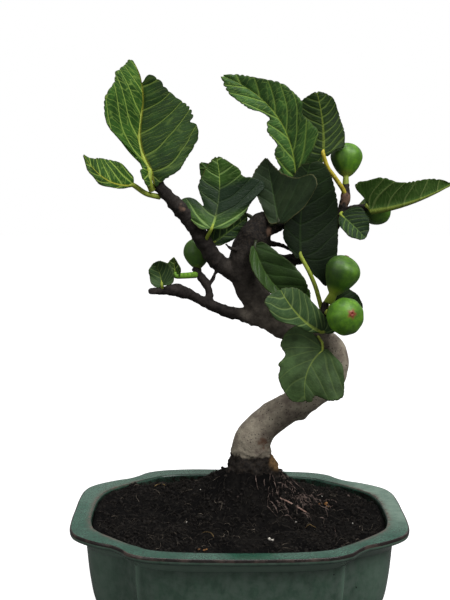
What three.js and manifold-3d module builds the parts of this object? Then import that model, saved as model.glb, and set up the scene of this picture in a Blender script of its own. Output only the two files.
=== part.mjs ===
import * as THREE from 'three';
import { mergeVertices } from 'three/addons/utils/BufferGeometryUtils.js';
import Module from 'manifold-3d';

// Potted fig bonsai. Millimetres, +Z up. The viewer stands at -Y, so +X is the viewer's right.
// The pot's middle is at x = 0, y = 0 and its feet stand on z = 0 until the last step,
// which centres the whole tree and pot on the origin.

const wasm = await Module();
wasm.setup();

// Pot: a lobed rectangle with a small notch at each corner.
const POT_HALF_WIDTH = 140;
const POT_HALF_DEPTH = 110;
const RIM_HEIGHT = 92;
const FLOOR_HEIGHT = 18;
const FOOT_HEIGHT = 12;
const FOOT_RADIUS = 15;
const FOOT_FLARE = 2;
const FOOT_STRETCH = 1.5;
const FOOT_PLACE = [70, 54];
const DRAIN_RADIUS = 8;
const DRAIN_SPACING = 46;
const DRAIN_START = 4;
const ROUND_SIDES = 20;
const PANEL_RECESS = 1.2;
const PANEL_HALF_LENGTH = 65;
const PANEL_NEAREST = 80;

// One quarter of the rim seen from above, from the back's middle round to the side's middle.
const RIM_QUARTER = [
  [0, POT_HALF_DEPTH], [23, 109.6], [45, 108.5], [70, 105], [85, 98], [93, 88], [101, 80.5],
  [112, 75], [125, 66], [134, 56], [138.6, 42],
  [POT_HALF_WIDTH, 21], [POT_HALF_WIDTH, 0],
];

// Wall sections as [share of the rim's plan, height].
const OUTER_WALL = [
  [0.72, 10], [0.8, 15], [0.862, 30], [0.89, 52], [0.904, 74], [0.908, 78], [0.95, 85],
];
const LIP = [[0.99, 88.3], [1, 89], [0.998, 91.2], [0.985, RIM_HEIGHT], [0.889, 91.4]];
const INNER_WALL = [[0.876, 86], [0.85, 45], [0.81, 26], [0.74, FLOOR_HEIGHT]];
const PANEL_ROWS = [30, 52, 74];

// Soil: its edge lies a little under the rim and it rises in a mound round the trunk.
const SOIL_GAP = 0.0045;
const SOIL_FLOOR_SHARE = 0.732;
const SOIL_FLOOR_GAP = 0.4;
const SOIL_EDGE_SHARE = 0.877;
const SOIL_EDGE_HEIGHT = 87;
const MOUND_RISE = 40;
const MOUND_SPREAD = 42;
const MOUND_CENTRE = [11, 30];
const SOIL_RINGS = [0.77, 0.62, 0.46, 0.31, 0.17];

// Clearance kept between pieces that touch in the real thing.
const SEAT_GAP = 0.3;

// How strongly a smooth run leans towards its neighbours.
const SPLINE_PULL = 0.45;
const TRUNK_SIDES = 12;
const LIMB_SIDES = 8;
const LONG_LIMB = 6;

// Wood runs as [x, y, z, radius].
const TRUNK = [
  [11, 30, 84, 17], [11, 30, 104, 18.5], [11, 30, 116, 18.8], [11, 30, 126, 18.4], [11, 30, 135, 17.4],
  [13, 29, 146, 16.2], [20, 28, 157, 14.6], [31, 27, 167, 13.9], [45, 26, 176, 13], [59, 25, 184, 12.6],
  [71, 24, 193, 12.1], [80, 24, 204, 12.1], [83, 24, 216, 12], [79, 25, 228, 11.6], [68, 26, 236, 11.2],
  [53, 27, 241, 11.6], [36, 28, 247, 12.5], [23, 29, 260, 13.6], [13, 30, 273, 13.3], [6, 30, 286, 13.3],
  [4, 30, 300, 13.5], [8, 30, 314, 13.6], [14, 30, 325, 13.4], [19, 30, 335, 10],
];
const LIMBS = {
  upperLeft: [
    [4, 30, 292, 10], [-5, 28, 296, 9], [-17, 26, 304, 8.4], [-26, 23, 315, 7.4],
    [-34, 20, 327, 6.4], [-43, 17, 341, 6.2], [-55, 14, 354, 5.5], [-67, 12, 367, 4.6],
  ],
  lowerLeft: [
    [14, 29, 254, 8], [0, 26, 257, 5.8], [-10, 24, 260, 4.9], [-25, 20, 267, 4.3], [-39, 14, 275, 3.7],
    [-52, 8, 281, 4.9], [-63, 2, 281, 3.5], [-73, -2, 281, 2.8],
  ],
  figTwig: [[-24, 20, 265, 3.2], [-26, 22, 280, 3.4], [-31, 26, 288, 3.4], [-37, 35, 295, 3.3]],
  thinStem: [[-26, 22, 282, 1.5], [-22, 23, 288, 1.4], [-17, 25, 300, 1.4]],
  right: [
    [10, 32, 295, 6.9], [31, 37, 302, 5.3], [53, 42, 303, 4.8], [71, 46, 311, 4.3],
    [83, 49, 329, 3.9], [90, 51, 346, 3.6], [93, 52, 357, 4], [93, 53, 365, 3.2],
  ],
  rightTwig: [[90, 51, 343, 3], [101, 45, 347, 2.8], [111, 40, 348, 2.4]],
  crown: [[14, 30, 328, 8], [27, 27, 331, 5.5], [38, 32, 333, 3.2]],
  crownTwig: [[22, 30, 318, 3], [36, 34, 316, 1.8], [50, 40, 309, 1.8]],
  spur: [[76, 24, 228, 6], [73, 19, 245, 4.7], [72, 16, 261, 3.9], [73, 14, 268, 3.2]],
  backTwig: [[14, 32, 318, 6], [18, 48, 328, 4], [16, 60, 336, 3]],
  rootRight: [[18, 28, 134, 6], [26, 26, 126, 7], [33, 24, 114, 5.5], [38, 20, 100, 3]],
  rootLeft: [[4, 27, 122, 9], [-6, 22, 112, 6.5], [-14, 16, 100, 3]],
  rootBack: [[10, 36, 124, 9], [6, 46, 114, 6], [2, 54, 98, 3]],
};

// Leaves. base: where stalk and blade meet; tip: end of the midrib; face: the way the upper side
// looks; fold: how far the left and right halves bend up about the midrib, in degrees; bow: sideways
// curve of the midrib; arch: rise of the midrib's middle; cup: droop of the margins.
// left and right: the margin from stalk to tip as [along the midrib, out from it].
const LEAVES = {
  leaf_upper_left: {
    base: [-74, 6, 379], tip: [-88, 30, 470], face: [0.25, -1, 0.3], fold: [48, 8],
    bow: -2, arch: -5, cup: 2,
    left: [[6, 9], [21, 32], [33, 52], [48, 55], [63, 43], [77, 27], [90, 14]],
    right: [[-5, 4], [-7, 9], [-1, 23], [8, 31], [21, 43], [40, 46], [47, 39], [54, 38], [65, 25], [72, 21],
      [81, 13], [81, 8], [74, 3], [86, 6]],
    stalk: [[-74, 8, 372], [-71, 12, 363]],
  },
  leaf_small_left: {
    base: [-87, 4, 368], tip: [-126, -14, 394], face: [-0.1, -1, 0.9], fold: [12, 15],
    bow: 5, arch: 2, cup: 3,
    left: [[4, 3], [12, 7], [23, 12], [32, 15], [40, 13], [45, 6]],
    right: [[-5, 3], [-7, 9], [0, 8], [6, 8], [12, 12], [21, 13], [33, 9], [41, 3]],
    stalk: [[-77, 8, 361], [-66, 14, 358]],
  },
  leaf_three_lobed: {
    base: [-23, 9, 332], tip: [-19, 20, 392], face: [0.1, -1, 0.35], fold: [6, 6],
    bow: -5, arch: -6, cup: 4,
    left: [[-1, 9], [8, 21], [17, 28], [22, 23], [18, 13], [34, 18], [47, 13], [54, 8]],
    right: [[1, 11], [9, 19], [17, 24], [26, 28], [41, 39], [46, 31], [46, 20], [52, 17], [59, 6]],
    stalk: [[-26, 13, 326], [-30, 22, 318]],
  },
  leaf_shaded_left: {
    base: [-23, 36, 317], tip: [8, 54, 339], face: [-0.2, -1, -0.2], fold: [5, 5],
    bow: 0, arch: 2, cup: 2,
    left: [[3, 12], [20, 16], [36, 9]],
    right: [[4, 5], [20, 8], [34, 6]],
    stalk: [[-25, 31, 315], [-26, 24, 314]],
  },
  leaf_dark_centre: {
    base: [33, 15, 337], tip: [23, 34, 391], face: [-0.15, -1, 0.2], fold: [5, 30],
    bow: 0, arch: -3, cup: 2,
    left: [[0, 7], [9, 10], [27, 14], [36, 18], [49, 11]],
    right: [[-3, 6], [0, 15], [5, 27], [15, 39], [21, 44], [30, 41], [32, 25], [39, 13], [48, 6]],
    stalk: [[29, 20, 335], [23, 26, 333]],
  },
  leaf_top: {
    base: [48, 34, 374], tip: [-16, 8, 457], face: [0.3, -1, -0.2], fold: [8, 14],
    bow: -17, arch: 4, cup: -3,
    left: [[-2, 6], [8, 12], [25, 17], [31, 16], [34, 12], [46, 14], [53, 10], [54, 6], [63, 8], [73, 13],
      [89, 13], [98, 8]],
    right: [[-3, 6], [6, 10], [11, 18], [20, 26], [32, 22], [41, 18], [51, 23], [70, 21], [79, 17],
      [90, 11], [100, 6]],
    stalk: [[50, 38, 363], [45, 38, 349], [36, 33, 337]],
  },
  leaf_top_right: {
    base: [72, 42, 393], tip: [67, 58, 447], face: [0.1, -1, 0.25], fold: [-14, 6],
    bow: -3, arch: -3, cup: 3,
    left: [[-10, 2], [-19, 6], [-20, 16], [-11, 24], [9, 27], [32, 24], [49, 16]],
    right: [[-2, 4], [4, 11], [6, 18], [17, 18], [30, 16], [47, 13], [54, 7]],
    stalk: [[76, 43, 382], [82, 45, 374], [90, 49, 363], [93, 52, 356]],
  },
  leaf_right: {
    base: [113, 32, 345], tip: [172, 6, 369], face: [0.1, 0.3, 1], fold: [78, 60],
    bow: -3, arch: 0, cup: 3,
    left: [[-2, 8], [4, 16], [20, 18], [38, 14], [58, 7]],
    right: [[-1, 8], [-5, 23], [-3, 31], [10, 30], [20, 28], [31, 22], [45, 16], [62, 9]],
    stalk: [[112, 35, 347], [109, 38, 350]],
  },
  leaf_small_right: {
    base: [88, 41, 341], tip: [108, 28, 322], face: [0.1, -1, 0.3], fold: [10, 20],
    bow: 0, arch: 2, cup: 2,
    left: [[0, 6], [1, 11], [8, 16], [18, 15], [26, 8]],
    right: [[1, 4], [7, 9], [14, 11], [22, 10], [28, 6]],
    stalk: [[88, 45, 342], [91, 51, 344]],
  },
  leaf_broad_right: {
    base: [52, 16, 308], tip: [60, 27, 386], face: [0.2, -1, 0.2], fold: [6, -2],
    bow: 3, arch: -3, cup: 2,
    left: [[-2, 4], [6, 10], [15, 15], [27, 14], [42, 14], [60, 13], [75, 8]],
    right: [[-7, 3], [-12, 9], [-17, 17], [-22, 26], [-3, 32], [21, 34], [44, 33], [57, 28], [73, 19],
      [81, 9]],
    stalk: [[59, 15, 295], [65, 16, 281], [71, 17, 260]],
  },
  leaf_folded_centre: {
    base: [13, 12, 317], tip: [52, 16, 269], face: [0.1, -1, 0.1], fold: [22, 52],
    bow: -3, arch: 3, cup: 2,
    left: [[0, 6], [8, 12], [28, 18], [42, 20], [55, 15]],
    right: [[-2, 5], [4, 13], [16, 16], [30, 15], [44, 12], [54, 8]],
    stalk: [[14, 15, 320], [14, 22, 322]],
  },
  leaf_front: {
    base: [69, 7, 245], tip: [33, -10, 284], face: [-0.2, -1, 0.8], fold: [8, 8],
    bow: 6, arch: 3, cup: 2,
    left: [[3, 2], [11, 5], [27, 9], [44, 19], [55, 21], [61, 19], [61, 13]],
    right: [[-8, 5], [-9, 11], [-1, 13], [13, 15], [31, 18], [44, 14], [51, 7]],
    stalk: [[72, 10, 245], [74, 20, 243]],
  },
  leaf_hanging: {
    base: [70, 4, 230], tip: [55, -14, 190], face: [-0.15, -1, 0.4], fold: [4, 6],
    bow: 3, arch: 4, cup: 3,
    left: [[-2, 3], [0, 8], [8, 18], [20, 23], [33, 26], [40, 18], [39, 5], [45, 4]],
    right: [[-5, 4], [-12, 13], [-14, 28], [-3, 35], [7, 36], [14, 30], [23, 34], [27, 31], [34, 30], [43, 21],
      [49, 11]],
    stalk: [[70, 6, 236], [67, 14, 240]],
  },
  leaf_behind_figs: {
    base: [81, 24, 267], tip: [107, 32, 261], face: [0.2, -1, 0.2], fold: [5, 5],
    bow: 0, arch: 2, cup: 2,
    left: [[-2, 5], [1, 10], [8, 15], [17, 12], [25, 6]],
    right: [[-1, 4], [6, 8], [15, 10], [23, 6]],
    stalk: [[77, 21, 264], [72, 18, 256]],
  },
  leaf_young_left: {
    base: [-64, -1, 286], tip: [-70, -2, 305], face: [-0.3, -1, 0.1], fold: [40, 20],
    bow: 0, arch: -4, cup: 4,
    left: [[-1, 4], [2, 8], [9, 10], [16, 7]],
    right: [[-1, 8], [1, 12], [8, 14], [15, 12], [20, 7]],
    stalk: [[-64, 0, 284], [-63, 2, 281]],
  },
  leaf_young_stalked: {
    base: [-53, 6, 293], tip: [-54, 2, 309], face: [0.2, -1, 0.2], fold: [20, 25],
    bow: 0, arch: -2, cup: 2,
    left: [[-1, 3], [1, 5], [6, 9], [12, 6]],
    right: [[-1, 3], [3, 5], [6, 5], [11, 3]],
    stalk: [[-46, 14, 292], [-33, 27, 291]],
  },
  leaf_back_upper: {
    base: [8, 66, 344], tip: [-24, 92, 388], face: [-0.3, 1, 0.7], fold: [10, 10],
    bow: 3, arch: 3, cup: 4,
    left: [[-9, 6], [-10, 16], [4, 24], [18, 20], [24, 22], [36, 18], [50, 8]],
    right: [[-9, 6], [-10, 16], [4, 24], [18, 20], [24, 22], [36, 18], [50, 8]],
    stalk: [[12, 62, 338], [17, 54, 331]],
  },
  leaf_back_lower: {
    base: [46, 62, 284], tip: [66, 84, 240], face: [0.3, 1, 0.4], fold: [8, 8],
    bow: -3, arch: 3, cup: 4,
    left: [[-8, 6], [-9, 15], [3, 21], [15, 18], [21, 20], [32, 15], [44, 7]],
    right: [[-8, 6], [-9, 15], [3, 21], [15, 18], [21, 20], [32, 15], [44, 7]],
    stalk: [[47, 56, 292], [50, 43, 302]],
  },
  leaf_back_middle: {
    base: [43, 57, 352], tip: [47, 79, 392], face: [0.1, 1, 0.6], fold: [12, 12],
    bow: 2, arch: 3, cup: 4,
    left: [[-7, 5], [-8, 12], [4, 16], [16, 14], [21, 16], [32, 12], [42, 6]],
    right: [[-7, 5], [-8, 12], [4, 16], [16, 14], [21, 16], [32, 12], [42, 6]],
    stalk: [[39, 51, 344], [31, 35, 333]],
  },
  leaf_back_right: {
    base: [68, 62, 328], tip: [58, 88, 364], face: [0.4, 1, 0.5], fold: [10, 10],
    bow: 2, arch: 3, cup: 4,
    left: [[-7, 5], [-8, 12], [4, 16], [16, 14], [21, 16], [32, 12], [42, 6]],
    right: [[-7, 5], [-8, 12], [4, 16], [16, 14], [21, 16], [32, 12], [42, 6]],
    stalk: [[70, 57, 322], [76, 47, 318]],
  },
};
const BLADE_THICKNESS = 0.8;
const MARGIN_ROWS = 16;
const SMALL_MARGIN_ROWS = 12;
const SMALL_LEAF = 45;
const BLADE_COLUMNS = 2;
const TOOTH = 0.7;
const RIPPLE = 1.2;
const RIPPLE_WAVES = 3;
const RIPPLE_START = 8;
const CUP_SPAN = 30;
const VEIN_RAKE = 0.75;
const LAST_VEIN = 0.97;

// Stalks run on under the blade's foot, thin where they end and stout where they leave the wood.
const STALK_RADIUS = 1.9;
const STALK_SIDES = 6;
const STALK_INSET = 4;
const STALK_END_SHARE = 0.55;
const STALK_SWELL = 0.25;
const STALK_LEAST = 0.5;
const STALK_FULL_REACH = 110;

// Figs. root: where the neck leaves the wood; middle: centre of the round body; eye: the way
// the small opening looks.
const FIGS = {
  fig_top_right: { root: [93, 54, 362], middle: [94, 60, 390], eye: [0.1, -0.3, 1], radius: 13.9 },
  fig_upper_of_pair: { root: [74, 12, 268], middle: [87, 0, 294], eye: [0.6, -0.3, 0.8], radius: 13.7 },
  fig_lower_of_pair: { root: [72, 17, 262], middle: [87, -10, 261], eye: [0.35, -0.95, 0.13], radius: 15.6 },
  fig_left: { root: [-35, 33, 292], middle: [-36, 41, 309], eye: [-0.2, -0.1, 1], radius: 11.7 },
  fig_under_right_leaf: { root: [103, 47, 346], middle: [119, 54, 346], eye: [0.8, 0.2, -0.4], radius: 13.7 },
};
const FIG_SIDES = 13;
const FIG_RINGS = 7;
const NECK_RADIUS = 2.5;
const FIG_FIRST_TURN = 0.14;
const FIG_TURN = 0.8;
const FIG_DRAW = 0.22;
const FIG_NARROW = 0.12;
const EYE_RISE = 1.02;
const EYE_HEIGHT = 0.5;
const EYE_RADII = [2.1, 1.3];

const FINISHES = {
  pot: { color: '#4f8a72', roughness: 0.3 },
  soil: { color: '#1f1916', roughness: 1 },
  wood: { color: '#5a5148', roughness: 0.85 },
  fig: { color: '#4f9a32', roughness: 0.45 },
  leaf: { color: '#3a5c2e', roughness: 0.5 },
};

// Closed solid from a list of corners and a list of triangles.
function solid(corners, triangles) {
  const geometry = new THREE.BufferGeometry();
  geometry.setAttribute('position', new THREE.Float32BufferAttribute(corners.flat(), 3));
  geometry.setIndex(triangles.flat());
  return toManifold(geometry);
}

function toManifold(geometry) {
  const plain = geometry.clone();
  plain.deleteAttribute('normal');
  plain.deleteAttribute('uv');
  const merged = mergeVertices(plain, 1e-4);
  return new wasm.Manifold(new wasm.Mesh({
    numProp: 3,
    vertProperties: new Float32Array(merged.attributes.position.array),
    triVerts: new Uint32Array(merged.index.array),
  }));
}

function toMesh(manifold, name, finish) {
  const result = manifold.getMesh();
  const geometry = new THREE.BufferGeometry();
  geometry.setAttribute('position', new THREE.Float32BufferAttribute(result.vertProperties, 3));
  geometry.setIndex(Array.from(result.triVerts));
  const part = new THREE.Mesh(geometry, new THREE.MeshStandardMaterial({ ...finish, metalness: 0 }));
  part.name = name;
  return part;
}

// Smooth run through the given points, each a row of numbers; `steps` pieces between neighbours.
function smooth(points, steps) {
  const run = [];
  const last = points.length - 1;
  for (let i = 0; i < last; i += 1) {
    const before = points[Math.max(i - 1, 0)];
    const after = points[Math.min(i + 2, last)];
    for (let k = 0; k < steps; k += 1) {
      const t = k / steps;
      run.push(points[i].map((a, n) => {
        const b = points[i + 1][n];
        const leave = (b - before[n]) * SPLINE_PULL;
        const arrive = (after[n] - a) * SPLINE_PULL;
        return a + leave * t + (3 * (b - a) - 2 * leave - arrive) * t ** 2
          + (leave + arrive - 2 * (b - a)) * t ** 3;
      }));
    }
  }
  run.push([...points[last]]);
  return run;
}

// Points spaced evenly along a run.
function evenly(run, count) {
  const reach = [0];
  for (let i = 1; i < run.length; i += 1) {
    reach.push(reach[i - 1] + Math.hypot(...run[i].map((v, n) => v - run[i - 1][n])));
  }
  const total = reach[reach.length - 1];
  const spaced = [];
  let i = 0;
  for (let k = 0; k <= count; k += 1) {
    const target = (total * k) / count;
    while (i < run.length - 2 && reach[i + 1] < target) i += 1;
    const share = (target - reach[i]) / (reach[i + 1] - reach[i]);
    spaced.push(run[i].map((v, n) => v + (run[i + 1][n] - v) * Math.min(share, 1)));
  }
  return spaced;
}

// Skin over a stack of rings with the same number of corners, closed by a flat end at both ends.
function skin(rings) {
  const corners = rings.flat();
  const sides = rings[0].length;
  const triangles = [];
  for (let ring = 0; ring < rings.length - 1; ring += 1) {
    for (let k = 0; k < sides; k += 1) {
      const next = (k + 1) % sides;
      const a = ring * sides + k;
      const b = ring * sides + next;
      triangles.push([a, b, b + sides], [a, b + sides, a + sides]);
    }
  }
  const closeEnd = (ring, facesBack) => {
    const middle = corners.length;
    corners.push([0, 1, 2].map((n) => ring.reduce((sum, p) => sum + p[n], 0) / sides));
    const start = facesBack ? 0 : (rings.length - 1) * sides;
    for (let k = 0; k < sides; k += 1) {
      const a = start + k;
      const b = start + ((k + 1) % sides);
      triangles.push(facesBack ? [middle, b, a] : [middle, a, b]);
    }
  };
  closeEnd(rings[0], true);
  closeEnd(rings[rings.length - 1], false);
  return solid(corners, triangles);
}

// Round bar along a run of [x, y, z, radius].
function bar(run, sides, extra = 0) {
  const places = run.map((p) => new THREE.Vector3(p[0], p[1], p[2]));
  const along = places.map((p, i) => {
    const from = places[Math.max(i - 1, 0)];
    const to = places[Math.min(i + 1, places.length - 1)];
    return to.clone().sub(from).normalize();
  });
  let across = new THREE.Vector3(1, 0, 0);
  if (Math.abs(along[0].x) > 0.9) across.set(0, 1, 0);
  const rings = run.map((p, i) => {
    across = across.clone().addScaledVector(along[i], -across.dot(along[i])).normalize();
    const third = along[i].clone().cross(across);
    const radius = p[3] + extra;
    return Array.from({ length: sides }, (_, k) => {
      const turn = (2 * Math.PI * k) / sides;
      return places[i].clone()
        .addScaledVector(across, radius * Math.cos(turn))
        .addScaledVector(third, radius * Math.sin(turn))
        .toArray();
    });
  });
  return skin(rings);
}

// The rim's whole plan, counter-clockwise from the middle of the right side.
function rimPlan() {
  const quarter = [...RIM_QUARTER].reverse();
  const backRight = quarter.slice(0, -1);
  const backLeft = quarter.slice(1).reverse().map(([x, y]) => [-x, y]);
  const back = [...backRight, ...backLeft];
  return [...back, ...back.map(([x, y]) => [-x, -y])];
}

function planRing(share, height, centre = [0, 0]) {
  return rimPlan().map(([x, y]) => [x * share + centre[0], y * share + centre[1], height]);
}

// The long walls carry a shallow sunk panel between the corner notches.
function wallRing(share, height) {
  const ring = planRing(share, height);
  if (!PANEL_ROWS.includes(height)) return ring;
  return ring.map(([x, y, z]) => {
    const inPanel = Math.abs(x) < PANEL_HALF_LENGTH && Math.abs(y) > PANEL_NEAREST;
    return [x, inPanel ? y - Math.sign(y) * PANEL_RECESS : y, z];
  });
}

function pot() {
  const outside = OUTER_WALL.map(([share, height]) => wallRing(share, height));
  const inside = [...LIP, ...INNER_WALL].map(([share, height]) => planRing(share, height));
  let body = skin([...outside, ...inside]);
  for (const [sx, sy] of [[1, 1], [1, -1], [-1, 1], [-1, -1]]) {
    const foot = new THREE.CylinderGeometry(FOOT_RADIUS + FOOT_FLARE, FOOT_RADIUS, FOOT_HEIGHT, ROUND_SIDES);
    foot.rotateX(Math.PI / 2);
    foot.scale(FOOT_STRETCH, 1, 1);
    foot.translate(sx * FOOT_PLACE[0], sy * FOOT_PLACE[1], FOOT_HEIGHT / 2);
    body = body.add(toManifold(foot));
  }
  for (const side of [1, -1]) {
    const drain = new THREE.CylinderGeometry(DRAIN_RADIUS, DRAIN_RADIUS, FLOOR_HEIGHT, ROUND_SIDES);
    drain.rotateX(Math.PI / 2);
    drain.translate(side * DRAIN_SPACING, 0, FLOOR_HEIGHT / 2 + DRAIN_START);
    body = body.subtract(toManifold(drain));
  }
  return body;
}

function soilHeight(x, y) {
  const fromTrunk = Math.hypot(x - MOUND_CENTRE[0], y - MOUND_CENTRE[1]);
  const mound = MOUND_RISE * Math.exp(-((fromTrunk / MOUND_SPREAD) ** 2));
  const lumps = 0.9 * Math.sin(x / 9 + 1.3) * Math.cos(y / 11 - 0.6) + 0.6 * Math.sin(x / 5 + y / 7);
  return SOIL_EDGE_HEIGHT + mound + lumps;
}

function soil(wood) {
  const rings = [planRing(SOIL_FLOOR_SHARE, FLOOR_HEIGHT + SOIL_FLOOR_GAP)];
  for (const [share, height] of INNER_WALL.slice(1, -1).reverse()) {
    rings.push(planRing(share - SOIL_GAP, height));
  }
  rings.push(planRing(SOIL_EDGE_SHARE - SOIL_GAP, SOIL_EDGE_HEIGHT));
  for (const share of SOIL_RINGS) {
    const pull = 1 - share / SOIL_EDGE_SHARE;
    const ring = planRing(share, 0, [MOUND_CENTRE[0] * pull, MOUND_CENTRE[1] * pull]);
    rings.push(ring.map(([x, y]) => [x, y, soilHeight(x, y)]));
  }
  return skin(rings).subtract(wood);
}

// Trunk, limbs and surface roots as one piece; `extra` thickens all of it.
function wood(extra = 0) {
  let tree = bar(TRUNK, TRUNK_SIDES, extra);
  for (const limb of Object.values(LIMBS)) {
    const steps = limb.length > LONG_LIMB ? 2 : 1;
    tree = tree.add(bar(smooth(limb, steps), LIMB_SIDES, extra));
  }
  return tree;
}

// Directions of a leaf: along the midrib, out to the left half, and the upper side's outward one.
// `rows` counts the steps along each half's margin.
function leafAxes(leaf) {
  const base = new THREE.Vector3(...leaf.base);
  const span = new THREE.Vector3(...leaf.tip).sub(base);
  const reach = span.length();
  const along = span.normalize();
  const face = new THREE.Vector3(...leaf.face);
  face.addScaledVector(along, -face.dot(along)).normalize();
  const rows = reach < SMALL_LEAF ? SMALL_MARGIN_ROWS : MARGIN_ROWS;
  return { base, reach, rows, along, face, left: face.clone().cross(along) };
}

// Point of a blade's middle surface: `u` along the midrib, `w` out from it, `side` +1 left, -1 right.
function bladePoint(leaf, axes, u, w, side) {
  const share = THREE.MathUtils.clamp(u / axes.reach, 0, 1);
  const hump = 4 * share * (1 - share);
  const fold = THREE.MathUtils.degToRad(leaf.fold[side > 0 ? 0 : 1]);
  return axes.base.clone()
    .addScaledVector(axes.along, u)
    .addScaledVector(axes.left, leaf.bow * hump + side * w * Math.cos(fold))
    .addScaledVector(axes.face, leaf.arch * hump + w * Math.sin(fold) - leaf.cup * (w / CUP_SPAN) ** 2);
}

// One half of a blade as rows of points that run from the midrib to the margin.
function bladeRows(leaf, axes, side) {
  const margin = [[0, 0], ...(side > 0 ? leaf.left : leaf.right), [axes.reach, 0]];
  const edge = evenly(smooth(margin, 6), axes.rows);
  let start = 0;
  return edge.map(([u, w], row) => {
    start = Math.max(start, Math.min(u - VEIN_RAKE * w, axes.reach * LAST_VEIN));
    if (row === axes.rows) start = axes.reach;
    const tooth = row % 2 === 1 ? TOOTH : 0;
    const length = Math.hypot(u - start, w) || 1;
    const stretch = 1 + tooth / length;
    return Array.from({ length: BLADE_COLUMNS + 1 }, (_, column) => {
      const out = column / BLADE_COLUMNS;
      const wave = (row / axes.rows) * RIPPLE_WAVES * 2 * Math.PI;
      const ripple = RIPPLE * out ** 2 * Math.sin(wave + side);
      const reachOut = out * stretch;
      const point = bladePoint(leaf, axes, start + (u - start) * reachOut, w * reachOut, side);
      const damp = Math.min(1, w / RIPPLE_START);
      return point.addScaledVector(axes.face, ripple * damp);
    });
  });
}

// Blade: both halves share the midrib; upper and lower faces are split into like triangles.
function blade(leaf) {
  const axes = leafAxes(leaf);
  const points = [];
  const sheet = [];
  const midrib = [];
  for (const side of [1, -1]) {
    const rows = bladeRows(leaf, axes, side);
    const numbers = rows.map((row, r) => row.map((point, column) => {
      const atEnd = r === 0 || r === axes.rows;
      if (column > 0 && atEnd) return midrib[r];
      if (column === 0 && side < 0 && midrib[r] !== undefined) return midrib[r];
      points.push(point);
      if (column === 0) midrib[r] = points.length - 1;
      return points.length - 1;
    }));
    for (let r = 0; r < axes.rows; r += 1) {
      for (let column = 0; column < BLADE_COLUMNS; column += 1) {
        const corner = [
          numbers[r][column], numbers[r][column + 1], numbers[r + 1][column + 1], numbers[r + 1][column],
        ];
        for (const face of [[corner[0], corner[1], corner[2]], [corner[0], corner[2], corner[3]]]) {
          if (new Set(face).size === 3) sheet.push(side < 0 ? face : [face[0], face[2], face[1]]);
        }
      }
    }
  }
  return thicken(points, sheet, BLADE_THICKNESS);
}

// Closed plate of even thickness about a sheet.
function thicken(points, sheet, thickness) {
  const normals = points.map(() => new THREE.Vector3());
  const edges = new Map();
  for (const face of sheet) {
    const [a, b, c] = face.map((n) => points[n]);
    const normal = b.clone().sub(a).cross(c.clone().sub(a));
    face.forEach((n, k) => {
      normals[n].add(normal);
      edges.set(`${n},${face[(k + 1) % 3]}`, [n, face[(k + 1) % 3]]);
    });
  }
  const offset = (sign) => points.map((p, n) => (
    p.clone().addScaledVector(normals[n].clone().normalize(), (sign * thickness) / 2).toArray()
  ));
  const count = points.length;
  const triangles = [];
  for (const [a, b, c] of sheet) {
    triangles.push([a, b, c], [a + count, c + count, b + count]);
  }
  for (const [a, b] of edges.values()) {
    if (!edges.has(`${b},${a}`)) {
      triangles.push([b, a, a + count], [b, a + count, b + count]);
    }
  }
  return solid([...offset(1), ...offset(-1)], triangles);
}

function leafPiece(leaf, wideWood) {
  const axes = leafAxes(leaf);
  const begin = bladePoint(leaf, axes, Math.min(STALK_INSET, axes.reach / 6), 0, 1).toArray();
  const path = [begin, leaf.base, ...leaf.stalk].map((p, i, all) => {
    const swell = i === 0 ? STALK_END_SHARE : 1 + STALK_SWELL * (i / (all.length - 1));
    const size = Math.min(1, STALK_LEAST + axes.reach / STALK_FULL_REACH);
    return [...p, STALK_RADIUS * swell * size];
  });
  return blade(leaf).add(bar(path, STALK_SIDES)).subtract(wideWood);
}

// Fruit: a thin neck, a round body drawn out a little towards it, and a small raised eye.
function figPiece(fig, wideWood) {
  const root = new THREE.Vector3(...fig.root);
  const middle = new THREE.Vector3(...fig.middle);
  const eye = new THREE.Vector3(...fig.eye).normalize();
  const down = root.clone().sub(middle).normalize();
  const places = [[root, NECK_RADIUS]];
  for (let k = 0; k <= FIG_RINGS; k += 1) {
    const angle = Math.PI * (FIG_FIRST_TURN + (FIG_TURN * k) / FIG_RINGS);
    const lean = Math.cos(angle);
    const way = lean > 0 ? down : eye.clone().negate();
    const pear = lean > 0 ? 1 + FIG_DRAW * lean ** 2 : 1;
    const place = middle.clone().addScaledVector(way, fig.radius * lean * pear);
    const slim = lean > 0 ? 1 - FIG_NARROW * lean : 1;
    places.push([place, fig.radius * Math.sin(angle) * slim]);
  }
  EYE_RADII.forEach((radius, step) => {
    const rise = fig.radius * EYE_RISE + EYE_HEIGHT * step;
    places.push([middle.clone().addScaledVector(eye, rise), radius]);
  });
  return bar(places.map(([place, radius]) => [...place.toArray(), radius]), FIG_SIDES).subtract(wideWood);
}

function build() {
  const group = new THREE.Group();
  const tree = wood();
  const wideWood = wood(SEAT_GAP);
  group.add(toMesh(pot(), 'pot', FINISHES.pot));
  group.add(toMesh(soil(wideWood), 'soil', FINISHES.soil));
  group.add(toMesh(tree, 'trunk_and_branches', FINISHES.wood));
  for (const [name, leaf] of Object.entries(LEAVES)) {
    group.add(toMesh(leafPiece(leaf, wideWood), name, FINISHES.leaf));
  }
  for (const [name, fig] of Object.entries(FIGS)) {
    group.add(toMesh(figPiece(fig, wideWood), name, FINISHES.fig));
  }
  const extent = new THREE.Box3().setFromObject(group);
  const middle = extent.getCenter(new THREE.Vector3());
  for (const part of group.children) {
    part.geometry.translate(-middle.x, -middle.y, -extent.min.z);
  }
  return group;
}

export default build();
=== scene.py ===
"""Potted fig bonsai: the fine visual model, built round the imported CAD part.

The bonsai is worked out in millimetres with the middle of the pot at x = 0, y = 0 and its feet on z = 0,
and every mesh is then placed in the frame's metres. +Z is up, and the viewer stands at -Y.
"""

from __future__ import annotations

import logging
from dataclasses import dataclass, field, replace
from enum import Enum
from typing import Any, Sequence

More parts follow.
